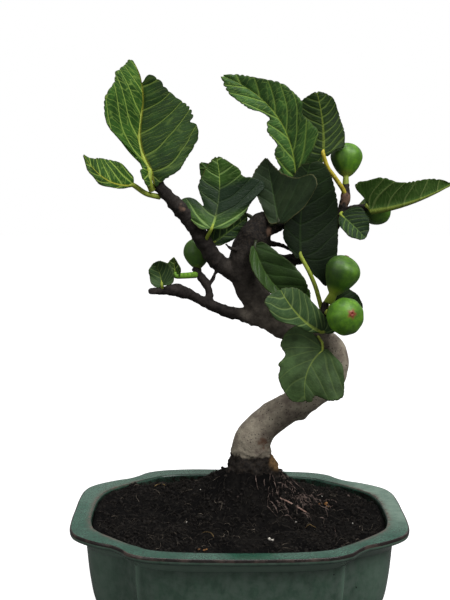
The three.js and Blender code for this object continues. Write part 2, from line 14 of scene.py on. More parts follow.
import bpy
import numpy as np
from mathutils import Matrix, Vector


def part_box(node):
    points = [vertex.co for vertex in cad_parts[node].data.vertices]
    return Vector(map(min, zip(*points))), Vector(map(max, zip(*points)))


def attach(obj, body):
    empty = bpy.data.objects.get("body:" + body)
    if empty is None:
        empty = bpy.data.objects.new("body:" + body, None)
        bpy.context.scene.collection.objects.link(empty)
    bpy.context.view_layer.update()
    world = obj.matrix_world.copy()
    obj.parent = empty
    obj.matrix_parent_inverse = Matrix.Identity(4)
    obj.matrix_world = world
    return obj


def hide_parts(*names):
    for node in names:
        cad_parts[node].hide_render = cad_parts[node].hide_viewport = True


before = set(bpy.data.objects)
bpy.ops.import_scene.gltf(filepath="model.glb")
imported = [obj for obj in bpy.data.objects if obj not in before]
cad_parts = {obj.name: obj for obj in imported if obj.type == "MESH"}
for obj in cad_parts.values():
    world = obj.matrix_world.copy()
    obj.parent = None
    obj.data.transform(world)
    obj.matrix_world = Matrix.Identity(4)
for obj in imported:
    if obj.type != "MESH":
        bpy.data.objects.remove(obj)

LOG = logging.getLogger("fig_bonsai")
BODY = "root"
METRE_PER_MM = 0.001
POT_MIDDLE = np.append(np.mean(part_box("pot"), axis=0)[:2], 0.0)
PHOTO_HEIGHT = 600

# How strongly a smooth run leans towards its neighbours.
SPLINE_PULL = 0.45
# Share of a dot's radius inside which it has its full colour.
DOT_CORE = 0.6

Array = np.ndarray
Pair = tuple[float, float]
Point = tuple[float, float, float]
Row = tuple[float, ...]
Material = bpy.types.Material
Piece = bpy.types.Object
Socket = bpy.types.NodeSocket


def metres(points: Array) -> Array:
    """Turns places in the bonsai's millimetres into the frame's metres."""
    return points * METRE_PER_MM + POT_MIDDLE


def millimetres(points: Array) -> Array:
    """Turns places in the frame's metres into the bonsai's millimetres."""
    return (points - POT_MIDDLE) / METRE_PER_MM


def linear(hex_colour: str, alpha: float = 1.0) -> tuple[float, float, float, float]:
    """Turns an sRGB hex colour into Blender's linear one.

    Args:
        hex_colour: Colour such as "#4f8a72".
        alpha: Fourth channel.

    Returns:
        Linear red, green, blue and alpha.
    """
    channels = np.array([int(hex_colour[i:i + 2], 16) for i in (1, 3, 5)]) / 255.0
    light = np.where(channels <= 0.04045, channels / 12.92, ((channels + 0.055) / 1.055) ** 2.4)
    return (float(light[0]), float(light[1]), float(light[2]), alpha)


def smooth_step(low: float, high: float, value: Array) -> Array:
    """Rises from 0 at low to 1 at high as 3t^2 - 2t^3, with t the share of the way."""
    share = np.clip((value - low) / (high - low), 0.0, 1.0)
    return share * share * (3.0 - 2.0 * share)


def bell(value: Array, width: float | Array, middle: float = 0.0) -> Array:
    """Bell curve: 1 at the middle and exp(-t^2) at t widths from it."""
    return np.exp(-(((value - middle) / width) ** 2))


def unit(vector: Array) -> Array:
    """Scales a vector, or each row of vectors, to length 1."""
    return vector / np.maximum(np.linalg.norm(vector, axis=-1, keepdims=True), 1e-12)


def smooth_run(points: Sequence[Row] | Array, steps: int, closed: bool = False) -> Array:
    """Cardinal spline through points: each stretch is the cubic with the ends' places and slopes.

    The slope at a point is SPLINE_PULL times the way between its two neighbours.

    Args:
        points: Rows of numbers to pass through.
        steps: Pieces between neighbouring points.
        closed: Whether the run goes back to its first point.

    Returns:
        The run's points; a closed run doesn't repeat its first one.
    """
    fixed = np.asarray(points, dtype=float)
    if closed:
        near, far = fixed, np.roll(fixed, -1, axis=0)
        before, after = np.roll(fixed, 1, axis=0), np.roll(fixed, -2, axis=0)
    else:
        near, far = fixed[:-1], fixed[1:]
        before = np.concatenate([fixed[:1], fixed[:-2]])
        after = np.concatenate([fixed[2:], fixed[-1:]])
    t = (np.arange(steps) / steps)[None, :, None]
    near, far = near[:, None], far[:, None]
    leave = (far - before[:, None]) * SPLINE_PULL
    arrive = (after[:, None] - near) * SPLINE_PULL
    run = near + leave * t + (3 * (far - near) - 2 * leave - arrive) * t**2
    run = run + (leave + arrive - 2 * (far - near)) * t**3
    run = run.reshape(-1, fixed.shape[1])
    return run if closed else np.concatenate([run, fixed[-1:]])


def reach_along(run: Array) -> Array:
    """Distance travelled at each point of a run, from 0 at its start."""
    return np.concatenate([[0.0], np.cumsum(np.linalg.norm(np.diff(run, axis=0), axis=1))])


def lattice_noise(points: Array, cell: float, seed: int) -> Array:
    """Smooth value noise: each corner of a cubic lattice has a hashed value, blended across its cell.

    Args:
        points: Places in millimetres, one per row.
        cell: Size of a lattice cell in millimetres.
        seed: Chooses the pattern.

    Returns:
        One value from -1 to 1 for each point.
    """
    place = points / cell + 37.0 * seed
    corner = np.floor(place).astype(np.int64)
    share = place - corner
    share = share * share * (3.0 - 2.0 * share)
    total = np.zeros(len(points))
    for dx, dy, dz in np.ndindex(2, 2, 2):
        key = (corner[:, 0] + dx) * 73856093 ^ (corner[:, 1] + dy) * 19349663
        key = (key ^ (corner[:, 2] + dz) * 83492791 ^ seed * 2654435761) & 0x7FFFFFFF
        key = ((key ^ key >> 13) * 1274126177) & 0x7FFFFFFF
        value = ((key ^ key >> 16) & 0xFFFF) / 32767.5 - 1.0
        weight = np.abs(1 - dx - share[:, 0]) * np.abs(1 - dy - share[:, 1])
        total += value * weight * np.abs(1 - dz - share[:, 2])
    return total


def grid_quads(rows: int, columns: int, ring: bool = False, loop: bool = False) -> Array:
    """Four-cornered faces of a grid of points that are stored row after row.

    Args:
        rows: Number of rows.
        columns: Points in a row.
        ring: Whether the last column joins the first.
        loop: Whether the last row joins the first.

    Returns:
        Point numbers, four to a face.
    """
    across = np.arange(columns if ring else columns - 1)
    down = np.arange(rows if loop else rows - 1)
    here = down[:, None] * columns
    below = ((down + 1) % rows)[:, None] * columns
    step = (across + 1) % columns
    quads = np.stack([here + across, here + step, below + step, below + across], axis=-1)
    return quads.reshape(-1, 4)


@dataclass
class Shell:
    """Part of a mesh: points, faces, and named values at the faces' corners.

    Attributes:
        points: Places in millimetres, one row for each.
        faces: Groups of faces with the same number of corners, as point numbers.
        values: Named values, one for each point that `value_faces` counts.
        value_faces: Where in `values` each face corner looks, if not at its point's number.
        slot: Number of the material on the shell.
    """

    points: Array
    faces: list[Array]
    values: dict[str, Array] = field(default_factory=dict)
    value_faces: list[Array] | None = None
    slot: int = 0

    def corner_values(self, name: str) -> list[Array]:
        """One named value at every face corner, or 0 where the shell has none.

        Args:
            name: The value's name.

        Returns:
            The values, group by group.
        """
        groups = self.value_faces or self.faces
        if name not in self.values:
            return [np.zeros(group.size) for group in groups]
        return [self.values[name][group.ravel()] for group in groups]


def build_piece(name: str, shells: Sequence[Shell], *materials: Material) -> Piece:
    """Writes shells into one mesh object that sits at the origin.

    Args:
        name: Name of the new piece.
        shells: Its closed shells.
        materials: Materials in the order of the shells' slots.

    Returns:
        The new object, linked to the scene.
    """
    starts = np.cumsum([0] + [len(s.points) for s in shells])
    groups = [(g + start, s.slot) for s, start in zip(shells, starts) for g in s.faces]
    sizes = np.concatenate([np.full(len(g), g.shape[1]) for g, _ in groups])
    slots = np.concatenate([np.full(len(g), slot) for g, slot in groups])
    corners = np.concatenate([g.ravel() for g, _ in groups])
    mesh = bpy.data.meshes.new(name)
    mesh.vertices.add(int(starts[-1]))
    mesh.vertices.foreach_set("co", metres(np.concatenate([s.points for s in shells])).ravel())
    mesh.loops.add(len(corners))
    mesh.loops.foreach_set("vertex_index", corners.astype(np.int32))
    mesh.polygons.add(len(sizes))
    mesh.polygons.foreach_set("loop_start", (np.cumsum(sizes) - sizes).astype(np.int32))
    mesh.polygons.foreach_set("loop_total", sizes.astype(np.int32))
    mesh.polygons.foreach_set("material_index", slots.astype(np.int32))
    mesh.update(calc_edges=True)
    mesh.shade_smooth()
    for key in sorted({key for s in shells for key in s.values}):
        values = np.concatenate([group for s in shells for group in s.corner_values(key)])
        layer = mesh.attributes.new(key, "FLOAT", "CORNER")
        layer.data.foreach_set("value", values.astype(np.float32))
    for material in materials:
        mesh.materials.append(material)
    piece = bpy.data.objects.new(name, mesh)
    bpy.context.scene.collection.objects.link(piece)
    return piece


def enlist(piece: Piece, slot: str, *nodes: str) -> None:
    """Fixes a finished piece to the tree.

    Args:
        piece: The piece.
        slot: Not used.
        nodes: The CAD nodes that the piece stands for.
    """
    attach(piece, BODY)
    if nodes:
        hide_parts(*nodes)
    LOG.info("%s: %d faces", piece.name, len(piece.data.polygons))


def ring_ways(across: Array, third: Array, sides: int) -> Array:
    """Ways out to the corners of rings, as across cos(turn) + third sin(turn).

    Args:
        across: First direction of each ring.
        third: Direction a quarter turn on.
        sides: Corners of a ring.

    Returns:
        One direction for each ring and corner.
    """
    turn = (2 * np.pi * np.arange(sides) / sides)[:, None]
    return across[..., None, :] * np.cos(turn) + third[..., None, :] * np.sin(turn)


def capped(rings: Array, values: dict[str, Array] | None = None) -> Shell:
    """Closed shell of rings of points, with one face over its first ring and one over its last.

    Args:
        rings: Points by ring and corner.
        values: Named values of the points.

    Returns:
        The shell.
    """
    count, sides = rings.shape[:2]
    first = np.arange(sides)[None, ::-1]
    last = np.arange(sides)[None] + (count - 1) * sides
    return Shell(rings.reshape(-1, 3), [grid_quads(count, sides, ring=True), first, last], values or {})


def swept(run: Array, radii: Array, sides: int) -> Shell:
    """Round bar along a run, with a flat end at both ends.

    A ring's first direction is across the run and the axis that the run follows least, so no ring twists.

    Args:
        run: Middle points in millimetres.
        radii: Radius at each point.
        sides: Corners of a ring.

    Returns:
        The closed bar.
    """
    along = unit(np.gradient(run, axis=0))
    axis = np.eye(3)[np.argmin(np.abs(along).max(axis=0))]
    across = unit(np.cross(along, axis))
    ways = ring_ways(across, np.cross(along, across), sides)
    return capped(run[:, None] + radii[:, None, None] * ways)


class ShaderTree:
    """Node tree of a new material or of the surroundings.

    Sockets without a name of their own go by number. A Mix node of colours takes its share at 0 and the
    colours at 6 and 7, and gives the result at 2. A MapRange node takes a value at 0, the range that it
    comes from at 1 and 2, and the one that it goes to at 3 and 4; both are 0 to 1 where not given.
    """

    def __init__(self, owner: Material | bpy.types.World) -> None:
        """Starts with an empty tree.

        Args:
            owner: What the tree colours.
        """
        self.owner = owner
        self.owner.use_nodes = True
        self.tree = self.owner.node_tree
        self.tree.nodes.clear()

    def add(
        self, kind: str, inputs: dict[str | int, Any] | None = None, output: str | int = 0, **settings: Any
    ) -> Socket | None:
        """Adds one node with its settings and links.

        Args:
            kind: Blender's name of the node type, without "ShaderNode".
            inputs: For an input's name or number, the socket to link, a constant or a hex colour.
            output: Name or number of the output that is wanted.
            settings: The node's own settings.

        Returns:
            The wanted output, or nothing for a node without one.
        """
        node = self.tree.nodes.new("ShaderNode" + kind)
        for name, value in settings.items():
            setattr(node, name, value)
        for key, value in (inputs or {}).items():
            if isinstance(value, Socket):
                self.tree.links.new(value, node.inputs[key])
            else:
                node.inputs[key].default_value = linear(value) if isinstance(value, str) else value
        return node.outputs[output] if len(node.outputs) else None

    def clouds(
        self, size_mm: float, detail: float = 2.0, between: Pair | None = None, gives: Pair = (0.0, 1.0),
        stretch: Row = (1, 1, 1),
    ) -> Socket:
        """Cloudy pattern on Object coordinates, from 0 to 1 and mostly about 0.5.

        Args:
            size_mm: Width of a cloud in millimetres.
            detail: Finer layers in the clouds.
            between: Levels at which the pattern is cut off below and above.
            gives: What these two levels become.
            stretch: How many times longer a cloud is along x, y and z.

        Returns:
            The pattern, or what it becomes between the levels.
        """
        place = self.add("TexCoord", output="Object")
        scale = tuple(1.0 / (size_mm * METRE_PER_MM * share) for share in stretch)
        turned = self.add("Mapping", {"Vector": place, "Scale": scale})
        cloud = self.add("TexNoise", {"Vector": turned, "Scale": 1.0, "Detail": detail, "Roughness": 0.6})
        if between is None:
            return cloud
        return self.add("MapRange", {0: cloud, 1: between[0], 2: between[1], 3: gives[0], 4: gives[1]})

    def dots(self, spacing_mm: float, radius: float) -> Socket:
        """Round dots at random places, with soft edges: 1 near the middle of a Voronoi cell and 0 outside.

        Args:
            spacing_mm: Usual way from dot to dot in millimetres.
            radius: Radius of a dot as a share of the spacing.

        Returns:
            The pattern.
        """
        place = self.add("TexCoord", output="Object")
        scale = 1.0 / (spacing_mm * METRE_PER_MM)
        cell = self.add("TexVoronoi", {"Vector": place, "Scale": scale}, output="Distance")
        levels = {0: cell, 1: radius * DOT_CORE, 2: radius, 3: 1.0, 4: 0.0}
        return self.add("MapRange", levels, interpolation_type="SMOOTHSTEP")

    def close(self, **shader: Any) -> Material:
        """Adds the surface shader and the output.

        Args:
            shader: The shader's sockets, with _ for a space in a name.

        Returns:
            The finished material.
        """
        sockets = {name.replace("_", " "): value for name, value in shader.items()}
        self.add("OutputMaterial", {"Surface": self.add("BsdfPrincipled", sockets, output="BSDF")})
        return self.owner


@dataclass(frozen=True)
class GlazedStoneware:
    """Stoneware with a dipped and fired celadon glaze.

    The glaze is glossy and a little uneven, pools darker in hollows, breaks to brown clay where it runs
    thin on the lip, and carries iron specks. Its colour also holds painted light: a pale painted sheen on
    the rim's top towards the back right, and painted light that lightens the flange's underside and the
    ends.
    """

    glaze: str = "#265745"
    worn: str = "#486d5d"
    # Glaze thin on the panel's edges, also used as painted light that lightens the flange's underside and
    # the pot's ends.
    thin_glaze_and_painted_light: str = "#66806f"
    pooled: str = "#16281f"
    milky: str = "#8ba393"
    # Painted sheen: a pale reflection painted on the rim's top.
    grime: str = "#5d554b"
    wall: str = "#435b4c"
    wall_grey: str = "#58675d"
    clay: str = "#1f1715"
    warm_clay: str = "#4d403a"
    dirt: str = "#1d1916"
    speck: str = "#12201a"
    cloud_mm: float = 38.0
    speck_mm: float = 1.8
    pit_mm: float = 17.0

    def pitted(self, tree: ShaderTree, pits: Array) -> Socket:
        """Small pits in the glaze at chosen places: 1 in a pit and 0 outside.

        Args:
            tree: The glaze's tree.
            pits: Rows of x, y, z and radius in metres.

        Returns:
            The pattern.
        """
        place = tree.add("TexCoord", output="Object")
        shown = 0.0
        for *spot, radius in pits.tolist():
            away = tree.add("VectorMath", {0: place, 1: spot}, "Value", operation="DISTANCE")
            pit = tree.add("MapRange", {0: away, 1: radius * DOT_CORE, 2: radius, 3: 1.0, 4: 0.0})
            shown = tree.add("Math", {0: pit, 1: shown}, operation="MAXIMUM")
        return shown

    def material(self, pits: Array) -> Material:
        """Builds the glaze from the mesh's marks: layers of colour, each laid over the ones before.

        Args:
            pits: Rows of x, y, z and radius in metres.

        Returns:
            The glaze.
        """
        tree = ShaderTree(bpy.data.materials.new("glazed_stoneware"))
        names = ("lip", "ridge", "wall", "pooling", "milky", "grimy", "dirty", "unglazed")
        lip, ridge, wall, pooling, milky, grimy, dirty, bare = (
            tree.add("Attribute", attribute_name=name, output="Fac") for name in names
        )
        specks, thin_glaze_and_painted_light, painted_sheen_share, smear, splash = (
            tree.add("Math", {0: pattern, 1: strength}, operation="MULTIPLY")
            for pattern, strength in (
                (tree.dots(self.speck_mm, 0.26), 0.8),
                (ridge, 0.8),
                (tree.clouds(9.0, 4.0, (0.3, 0.6), (0.55, 1.0)), milky),
                (tree.clouds(5.0, 4.0, (0.36, 0.6), (0.2, 1.0)), grimy),
                (tree.clouds(6.0, 4.0, (0.35, 0.6), (0.55, 1.0)), dirty),
            )
        )
        side = self.wall
        for share, tint in (
            (tree.clouds(5.0, 5.0, (0.38, 0.66), (0.0, 0.4), (1, 1, 2.5)), self.pooled),
            (tree.clouds(9.0, 6.0, (0.4, 0.62), (0.0, 0.6)), self.wall_grey),
        ):
            side = tree.add("Mix", {0: share, 6: side, 7: tint}, 2, data_type="RGBA")
        warm = tree.clouds(14.0, 3.0, (0.48, 0.68))
        clay = tree.add("Mix", {0: warm, 6: self.clay, 7: self.warm_clay}, 2, data_type="RGBA")
        ragged = tree.add("Math", {0: tree.clouds(7.0, 3.0), 1: 0.3, 2: lip}, operation="MULTIPLY_ADD")
        colour = self.glaze
        for share, tint in (
            (tree.clouds(self.cloud_mm, 4.0, (0.38, 0.62)), self.worn),
            (tree.clouds(1.2, 3.0, (0.44, 0.62), (0.0, 0.7)), self.pooled),
            (specks, self.speck),
            (wall, side),
            (tree.dots(self.pit_mm, 0.06), self.speck),
            # Thin glaze on edges, and painted light under the flange and at the ends.
            (thin_glaze_and_painted_light, self.thin_glaze_and_painted_light),
            (pooling, self.pooled),
            # Painted sheen on the rim's top.
            (painted_sheen_share, self.milky),
            (tree.add("MapRange", {0: ragged, 1: 0.55, 2: 1.0}), clay),
            (smear, self.grime),
            (self.pitted(tree, pits), self.speck),
            (splash, self.dirt),
            (bare, self.clay),
        ):
            colour = tree.add("Mix", {0: share, 6: colour, 7: tint}, 2, data_type="RGBA")
        gloss = tree.add("MapRange", {0: bare, 3: 0.22, 4: 0.75})
        normal = tree.add("Bump", {"Height": tree.clouds(3.0, 2.0), "Distance": 0.15 * METRE_PER_MM})
        return tree.close(
            Base_Color=colour, Roughness=gloss, Normal=normal, IOR=1.52, Coat_Weight=0.35,
            Coat_Roughness=0.08,
        )


@dataclass(frozen=True)
class PottingCompost:
    """Peaty potting compost, crumbled and watered: nearly black, matt, with brown fibre in it."""

    dark: str = "#080707"
    brown: str = "#1c1a18"
    crumb_mm: float = 3.2

    def material(self) -> Material:
        """Builds the compost.

        Returns:
            The material, with fine crumb relief.
        """
        tree = ShaderTree(bpy.data.materials.new("potting_compost"))
        crumb, patch = tree.clouds(self.crumb_mm, 6.0), tree.clouds(22.0, 3.0)
        mixed = tree.add("Math", {0: crumb, 1: patch}, operation="MULTIPLY")
        share = tree.add("MapRange", {0: mixed, 1: 0.2, 2: 0.42})
        colour = tree.add("Mix", {0: share, 6: self.dark, 7: self.brown}, 2, data_type="RGBA")
        normal = tree.add("Bump", {"Height": tree.clouds(1.4, 4.0), "Distance": 0.9 * METRE_PER_MM})
        return tree.close(Base_Color=colour, Roughness=0.95, Normal=normal, Specular_IOR_Level=0.08)


@dataclass(frozen=True)
class SoilBit:
    """Small loose thing in the compost, such as a crumb, a root hair, straw or perlite: matt and uneven."""

    name: str
    dark: str
    light: str
    cloud_mm: float = 2.5

    def material(self) -> Material:
        """Builds the bit's surface.

        Returns:
            The material, in two tones.
        """
        tree = ShaderTree(bpy.data.materials.new(self.name))
        share = tree.clouds(self.cloud_mm, 2.0, (0.35, 0.65))
        colour = tree.add("Mix", {0: share, 6: self.dark, 7: self.light}, 2, data_type="RGBA")
        return tree.close(Base_Color=colour, Roughness=0.85, Specular_IOR_Level=0.12)


@dataclass(frozen=True)
class FigBark:
    """Bark of a fig tree: smooth grey with dark pores low down, dark brown and rougher on young wood."""

    grey: str = "#a69d8b"
    grey_dark: str = "#756a5f"
    young: str = "#14100e"
    young_light: str = "#322c28"
    worn: str = "#7c7367"
    earth: str = "#2d261f"
    root: str = "#8a6a42"
    scar: str = "#6b5344"
    pore: str = "#332a24"

    def material(self) -> Material:
        """Builds the bark from the mesh's marks for old, worn, dark, rusty and scarred places.

        The dark mark is earth on the foot and painted shade on the top of the trunk.

        Returns:
            The material.
        """
        tree = ShaderTree(bpy.data.materials.new("fig_bark"))
        names = ("old", "worn", "dark", "rusty", "scar")
        old, worn, dark, rusty, scar = (
            tree.add("Attribute", attribute_name=name, output="Fac") for name in names
        )
        fine = tree.clouds(1.8, 5.0, (0.42, 0.62))
        streaked, pores, patch, rust = (
            tree.add("Math", {0: pattern, 1: strength}, operation="MULTIPLY")
            for pattern, strength in (
                (fine, 0.35),
                (tree.dots(2.6, 0.24), 0.9),
                (tree.clouds(9.0, 3.0, (0.36, 0.64), (0.35, 0.85)), worn),
                (tree.add("MapRange", {0: fine, 3: 0.8, 4: 0.3}), rusty),
            )
        )
        tone = tree.clouds(7.0, 4.0, (0.36, 0.66), (0.0, 0.65))
        tone = tree.add("Math", {0: streaked, 1: tone}, operation="ADD")
        blotch = tree.clouds(11.0, 5.0, (0.42, 0.66))
        grey, young = self.grey, self.young
        for share, tint in ((blotch, self.grey_dark), (streaked, self.grey_dark), (pores, self.pore)):
            grey = tree.add("Mix", {0: share, 6: grey, 7: tint}, 2, data_type="RGBA")
        for share, tint in ((tone, self.young_light), (patch, self.worn)):
            young = tree.add("Mix", {0: share, 6: young, 7: tint}, 2, data_type="RGBA")
        # Earth colour of the foot; the dark mark also lays it as painted shade on the trunk's top.
        foot = tree.add("Mix", {0: fine, 6: self.young, 7: self.earth}, 2, data_type="RGBA")
        colour = young
        for share, tint in ((old, grey), (dark, foot), (rust, self.root), (scar, self.scar)):
            colour = tree.add("Mix", {0: share, 6: colour, 7: tint}, 2, data_type="RGBA")
        normal = tree.add("Bump", {"Height": tree.clouds(1.3, 5.0), "Distance": 0.6 * METRE_PER_MM})
        return tree.close(Base_Color=colour, Roughness=0.8, Normal=normal, Specular_IOR_Level=0.25)


@dataclass(frozen=True)
class FigBlade:
    """Living fig leaf: waxy dark green above with paler sunk veins, duller and paler below.

    Side veins are joined by a net of thin cross veins. Real cross veins are 0.2 mm wide and are drawn
    0.5 mm wide, coarser than real, so that they show in the render.
    """

    name: str
    upper: str
    mottle: str
    lower: str
    vein: str
    rib: str
    shade: str = "#0b110b"
    margin: str = "#3a3a20"
    vein_show: float = 0.85
    rung_show: float = 0.45
    roughness: float = 0.5
    specular: float = 0.16
    rung_mm: float = 3.4
    net_cells: float = 1.15
    areole_mm: float = 1.6

    def net(self, tree: ShaderTree, count: Socket, pitch: Socket, rung_way: Socket) -> Socket:
        """Net of thin cross veins: the edges of flat cells that are laid out along the side veins.

        Args:
            tree: The blade's tree.
            count: Number of side veins passed on the way up the blade.
            pitch: Way between side veins in millimetres.
            rung_way: Place along the side veins in millimetres.

        Returns:
            Strength of the net.
        """
        across = tree.add("Math", {0: count, 1: self.net_cells}, operation="MULTIPLY")
        along = tree.add("Math", {0: rung_way, 1: 1.0 / self.rung_mm}, operation="MULTIPLY")
        along = tree.add("Math", {0: tree.clouds(11.0, 2.0), 1: 1.6, 2: along}, operation="MULTIPLY_ADD")
        cell = tree.add("CombineXYZ", {0: across, 1: along})
        off_net = tree.add(
            "TexVoronoi", {"Vector": cell, "Scale": 1.0, "Randomness": 0.8}, "Distance",
            voronoi_dimensions="2D", feature="DISTANCE_TO_EDGE",
        )
        net = tree.add("MapRange", {0: off_net, 1: 0.02, 2: 0.12, 3: self.rung_show, 4: 0.0})
        faint = tree.clouds(9.0, 2.0, (0.36, 0.6), (0.3, 1.0))
        for share in (faint, tree.add("MapRange", {0: pitch, 1: 2.0, 2: 6.0})):
            net = tree.add("Math", {0: net, 1: share}, operation="MULTIPLY")
        return net

    def material(self) -> Material:
        """Builds the blade from the mesh's vein count, pitch, width and the way out along the veins.

        Returns:
            The material.
        """
        tree = ShaderTree(bpy.data.materials.new("fig_leaf_" + self.name))
        names = (
            "vein_count", "vein_pitch", "vein_width", "rung_way", "midrib_gap", "midrib_width",
            "margin_gap", "underside", "shaded",
        )
        count, pitch, width, rung_way, rib_gap, rib_width, margin_gap, under, shaded = (
            tree.add("Attribute", attribute_name=name, output="Fac") for name in names
        )
        off_vein = count
        for operation, value in (("PINGPONG", 0.5), ("MULTIPLY", pitch), ("DIVIDE", width)):
            off_vein = tree.add("Math", {0: off_vein, 1: value}, operation=operation)
        off_rib = tree.add("Math", {0: rib_gap, 1: rib_width}, operation="DIVIDE")
        rib_show = min(1.0, self.vein_show + 0.15)
        vein, rib = (
            tree.add("MapRange", {0: off, 1: core, 3: show, 4: 0.0}, interpolation_type="SMOOTHSTEP")
            for off, core, show in ((off_vein, 0.3, self.vein_show), (off_rib, 0.5, rib_show))
        )
        spread = tree.add("MapRange", {0: pitch, 1: 0.8, 2: 3.0})
        vein = tree.add("Math", {0: vein, 1: spread}, operation="MULTIPLY")
        net = self.net(tree, count, pitch, rung_way)
        colour = self.upper
        for share, tint in (
            (tree.clouds(12.0, 4.0, (0.36, 0.66)), self.mottle),
            (under, self.lower),
            (net, self.vein),
            (vein, self.vein),
            (tree.add("MapRange", {0: margin_gap, 1: 0.1, 2: 1.0, 3: 0.5, 4: 0.0}), self.margin),
            (rib, self.rib),
            (shaded, self.shade),
        ):
            colour = tree.add("Mix", {0: share, 6: colour, 7: tint}, 2, data_type="RGBA")
        lines = tree.add("Math", {0: net, 1: vein}, operation="MAXIMUM")
        turned = tree.add("MapRange", {0: under, 3: -1.0, 4: 1.0})
        height = tree.add("Math", {0: lines, 1: turned}, operation="MULTIPLY")
        areoles = tree.clouds(self.areole_mm, 1.0)
        height = tree.add("Math", {0: areoles, 1: 0.5, 2: height}, operation="MULTIPLY_ADD")
        normal = tree.add("Bump", {"Height": height, "Distance": 0.5 * METRE_PER_MM})
        return tree.close(
            Base_Color=colour, Roughness=self.roughness, Normal=normal, Specular_IOR_Level=self.specular
        )


@dataclass(frozen=True)
class LeafStalk:
    """Fleshy leaf stalk: smooth green to yellow skin, faintly streaked."""

    name: str
    base: str
    light: str

    def material(self) -> Material:
        """Builds the stalk's skin.

        Returns:
            The material, with streaks.
        """
        tree = ShaderTree(bpy.data.materials.new(self.name))
        share = tree.clouds(3.0, 3.0, (0.35, 0.65))
        colour = tree.add("Mix", {0: share, 6: self.base, 7: self.light}, 2, data_type="RGBA")
        return tree.close(Base_Color=colour, Roughness=0.5, Specular_IOR_Level=0.3)


@dataclass(frozen=True)
class UnripeFigSkin:
    """Skin of an unripe fig: smooth leaf green with a faint bloom, pale pores and darker ribs.

    The neck is partly brightened as painted light, and the shaded mark is painted shade.
    """

    base: str = "#44701a"
    light: str = "#62931e"
    deep: str = "#2a4b14"
    pore: str = "#7fa04a"
    eye: str = "#8a3a2e"
    # The neck's pale yellow green is its own colour, made brighter as painted light where the sun falls on
    # it.
    neck: str = "#95a63c"
    shade: str = "#142010"

    def material(self) -> Material:
        """Builds the skin from the mesh's marks for ribs, the eye's scales, the neck and shade.

        Returns:
            The material.
        """
        tree = ShaderTree(bpy.data.materials.new("unripe_fig_skin"))
        names = ("rib", "eye", "neck", "shaded")
        rib, eye, neck, shaded = (tree.add("Attribute", attribute_name=n, output="Fac") for n in names)
        ribbed, pores = (
            tree.add("Math", {0: pattern, 1: strength}, operation="MULTIPLY")
            for pattern, strength in ((rib, 0.18), (tree.dots(1.9, 0.15), 0.6))
        )
        colour = self.base
        for share, tint in (
            (tree.clouds(7.0, 3.0, (0.36, 0.66)), self.light),
            (ribbed, self.deep),
            (pores, self.pore),
            (neck, self.neck),
            (eye, self.eye),
            (shaded, self.shade),
        ):
            colour = tree.add("Mix", {0: share, 6: colour, 7: tint}, 2, data_type="RGBA")
        normal = tree.add("Bump", {"Height": tree.clouds(1.2, 2.0), "Distance": 0.08 * METRE_PER_MM})
        return tree.close(
            Base_Color=colour, Roughness=0.5, Normal=normal, Subsurface_Weight=0.05,
            Subsurface_Radius=(0.0015, 0.002, 0.0006), Subsurface_Scale=1.0,
        )


@dataclass(frozen=True)
class StudioPaper:
    """White background paper, matt and plain, that throws little light back on what stands on it."""

    name: str = "studio_paper"
    colour: str = "#b4b4b4"
    glow_colour: str = "#ffffff"
    bounce: str = "#5c5c5c"
    glow: float = 0.9

    def material(self) -> Material:
        """Builds the paper: white where it is looked at, grey in what it reflects on to the object.

        Returns:
            The material.
        """
        tree = ShaderTree(bpy.data.materials.new(self.name))
        seen = tree.add("LightPath", output="Is Camera Ray")
        white = tree.add(
            "BsdfPrincipled",
            {"Base Color": self.colour, "Roughness": 0.95, "Emission Color": self.glow_colour,
             "Emission Strength": self.glow, "Specular IOR Level": 0.1},
        )
        grey = tree.add("BsdfDiffuse", {"Color": self.bounce})
        tree.add("OutputMaterial", {"Surface": tree.add("MixShader", {0: seen, 1: grey, 2: white})})
        return tree.owner


def apply_modifiers(piece: Piece) -> None:
    """Replaces a piece's mesh by what its modifiers make of it.

    Args:
        piece: The piece.
    """
    graph = bpy.context.evaluated_depsgraph_get()
    mesh = bpy.data.meshes.new_from_object(piece.evaluated_get(graph))
    piece.modifiers.clear()
    piece.data = mesh


def point_rows(piece: Piece, key: str) -> Array:
    """Reads three numbers for each of a piece's points.

    Args:
        piece: The piece.
        key: "co" for its place in metres, "normal" for the way out of the surface.

    Returns:
        One row for each point.
    """
    flat = np.empty(len(piece.data.vertices) * 3)
    piece.data.vertices.foreach_get(key, flat)
    return flat.reshape(-1, 3)


def mark(piece: Piece, **marks: Array) -> None:
    """Gives a piece named values at each of its points."""
    for name, values in marks.items():
        layer = piece.data.attributes.new(name, "FLOAT", "POINT")
        layer.data.foreach_set("value", values.astype(np.float32))


def part_faces(welded: Array, plain: Array) -> tuple[list[Array], list[Array]]:
    """Splits quads into whole ones and ones that a weld made triangles.

    Args:
        welded: Point numbers after welding; a quad may name one point twice in a row.
        plain: The same corners' numbers before welding.

    Returns:
        The face groups by welded numbers, and the same groups by plain numbers.
    """
    same = welded == np.roll(welded, -1, axis=1)
    broken = same.any(axis=1)
    keep = np.ones((int(broken.sum()), 4), dtype=bool)
    keep[np.arange(len(keep)), np.argmax(same[broken], axis=1)] = False
    groups = []
    for corners in (welded, plain):
        groups.append([corners[~broken], corners[broken][keep].reshape(-1, 3)])
    return groups[0], groups[1]


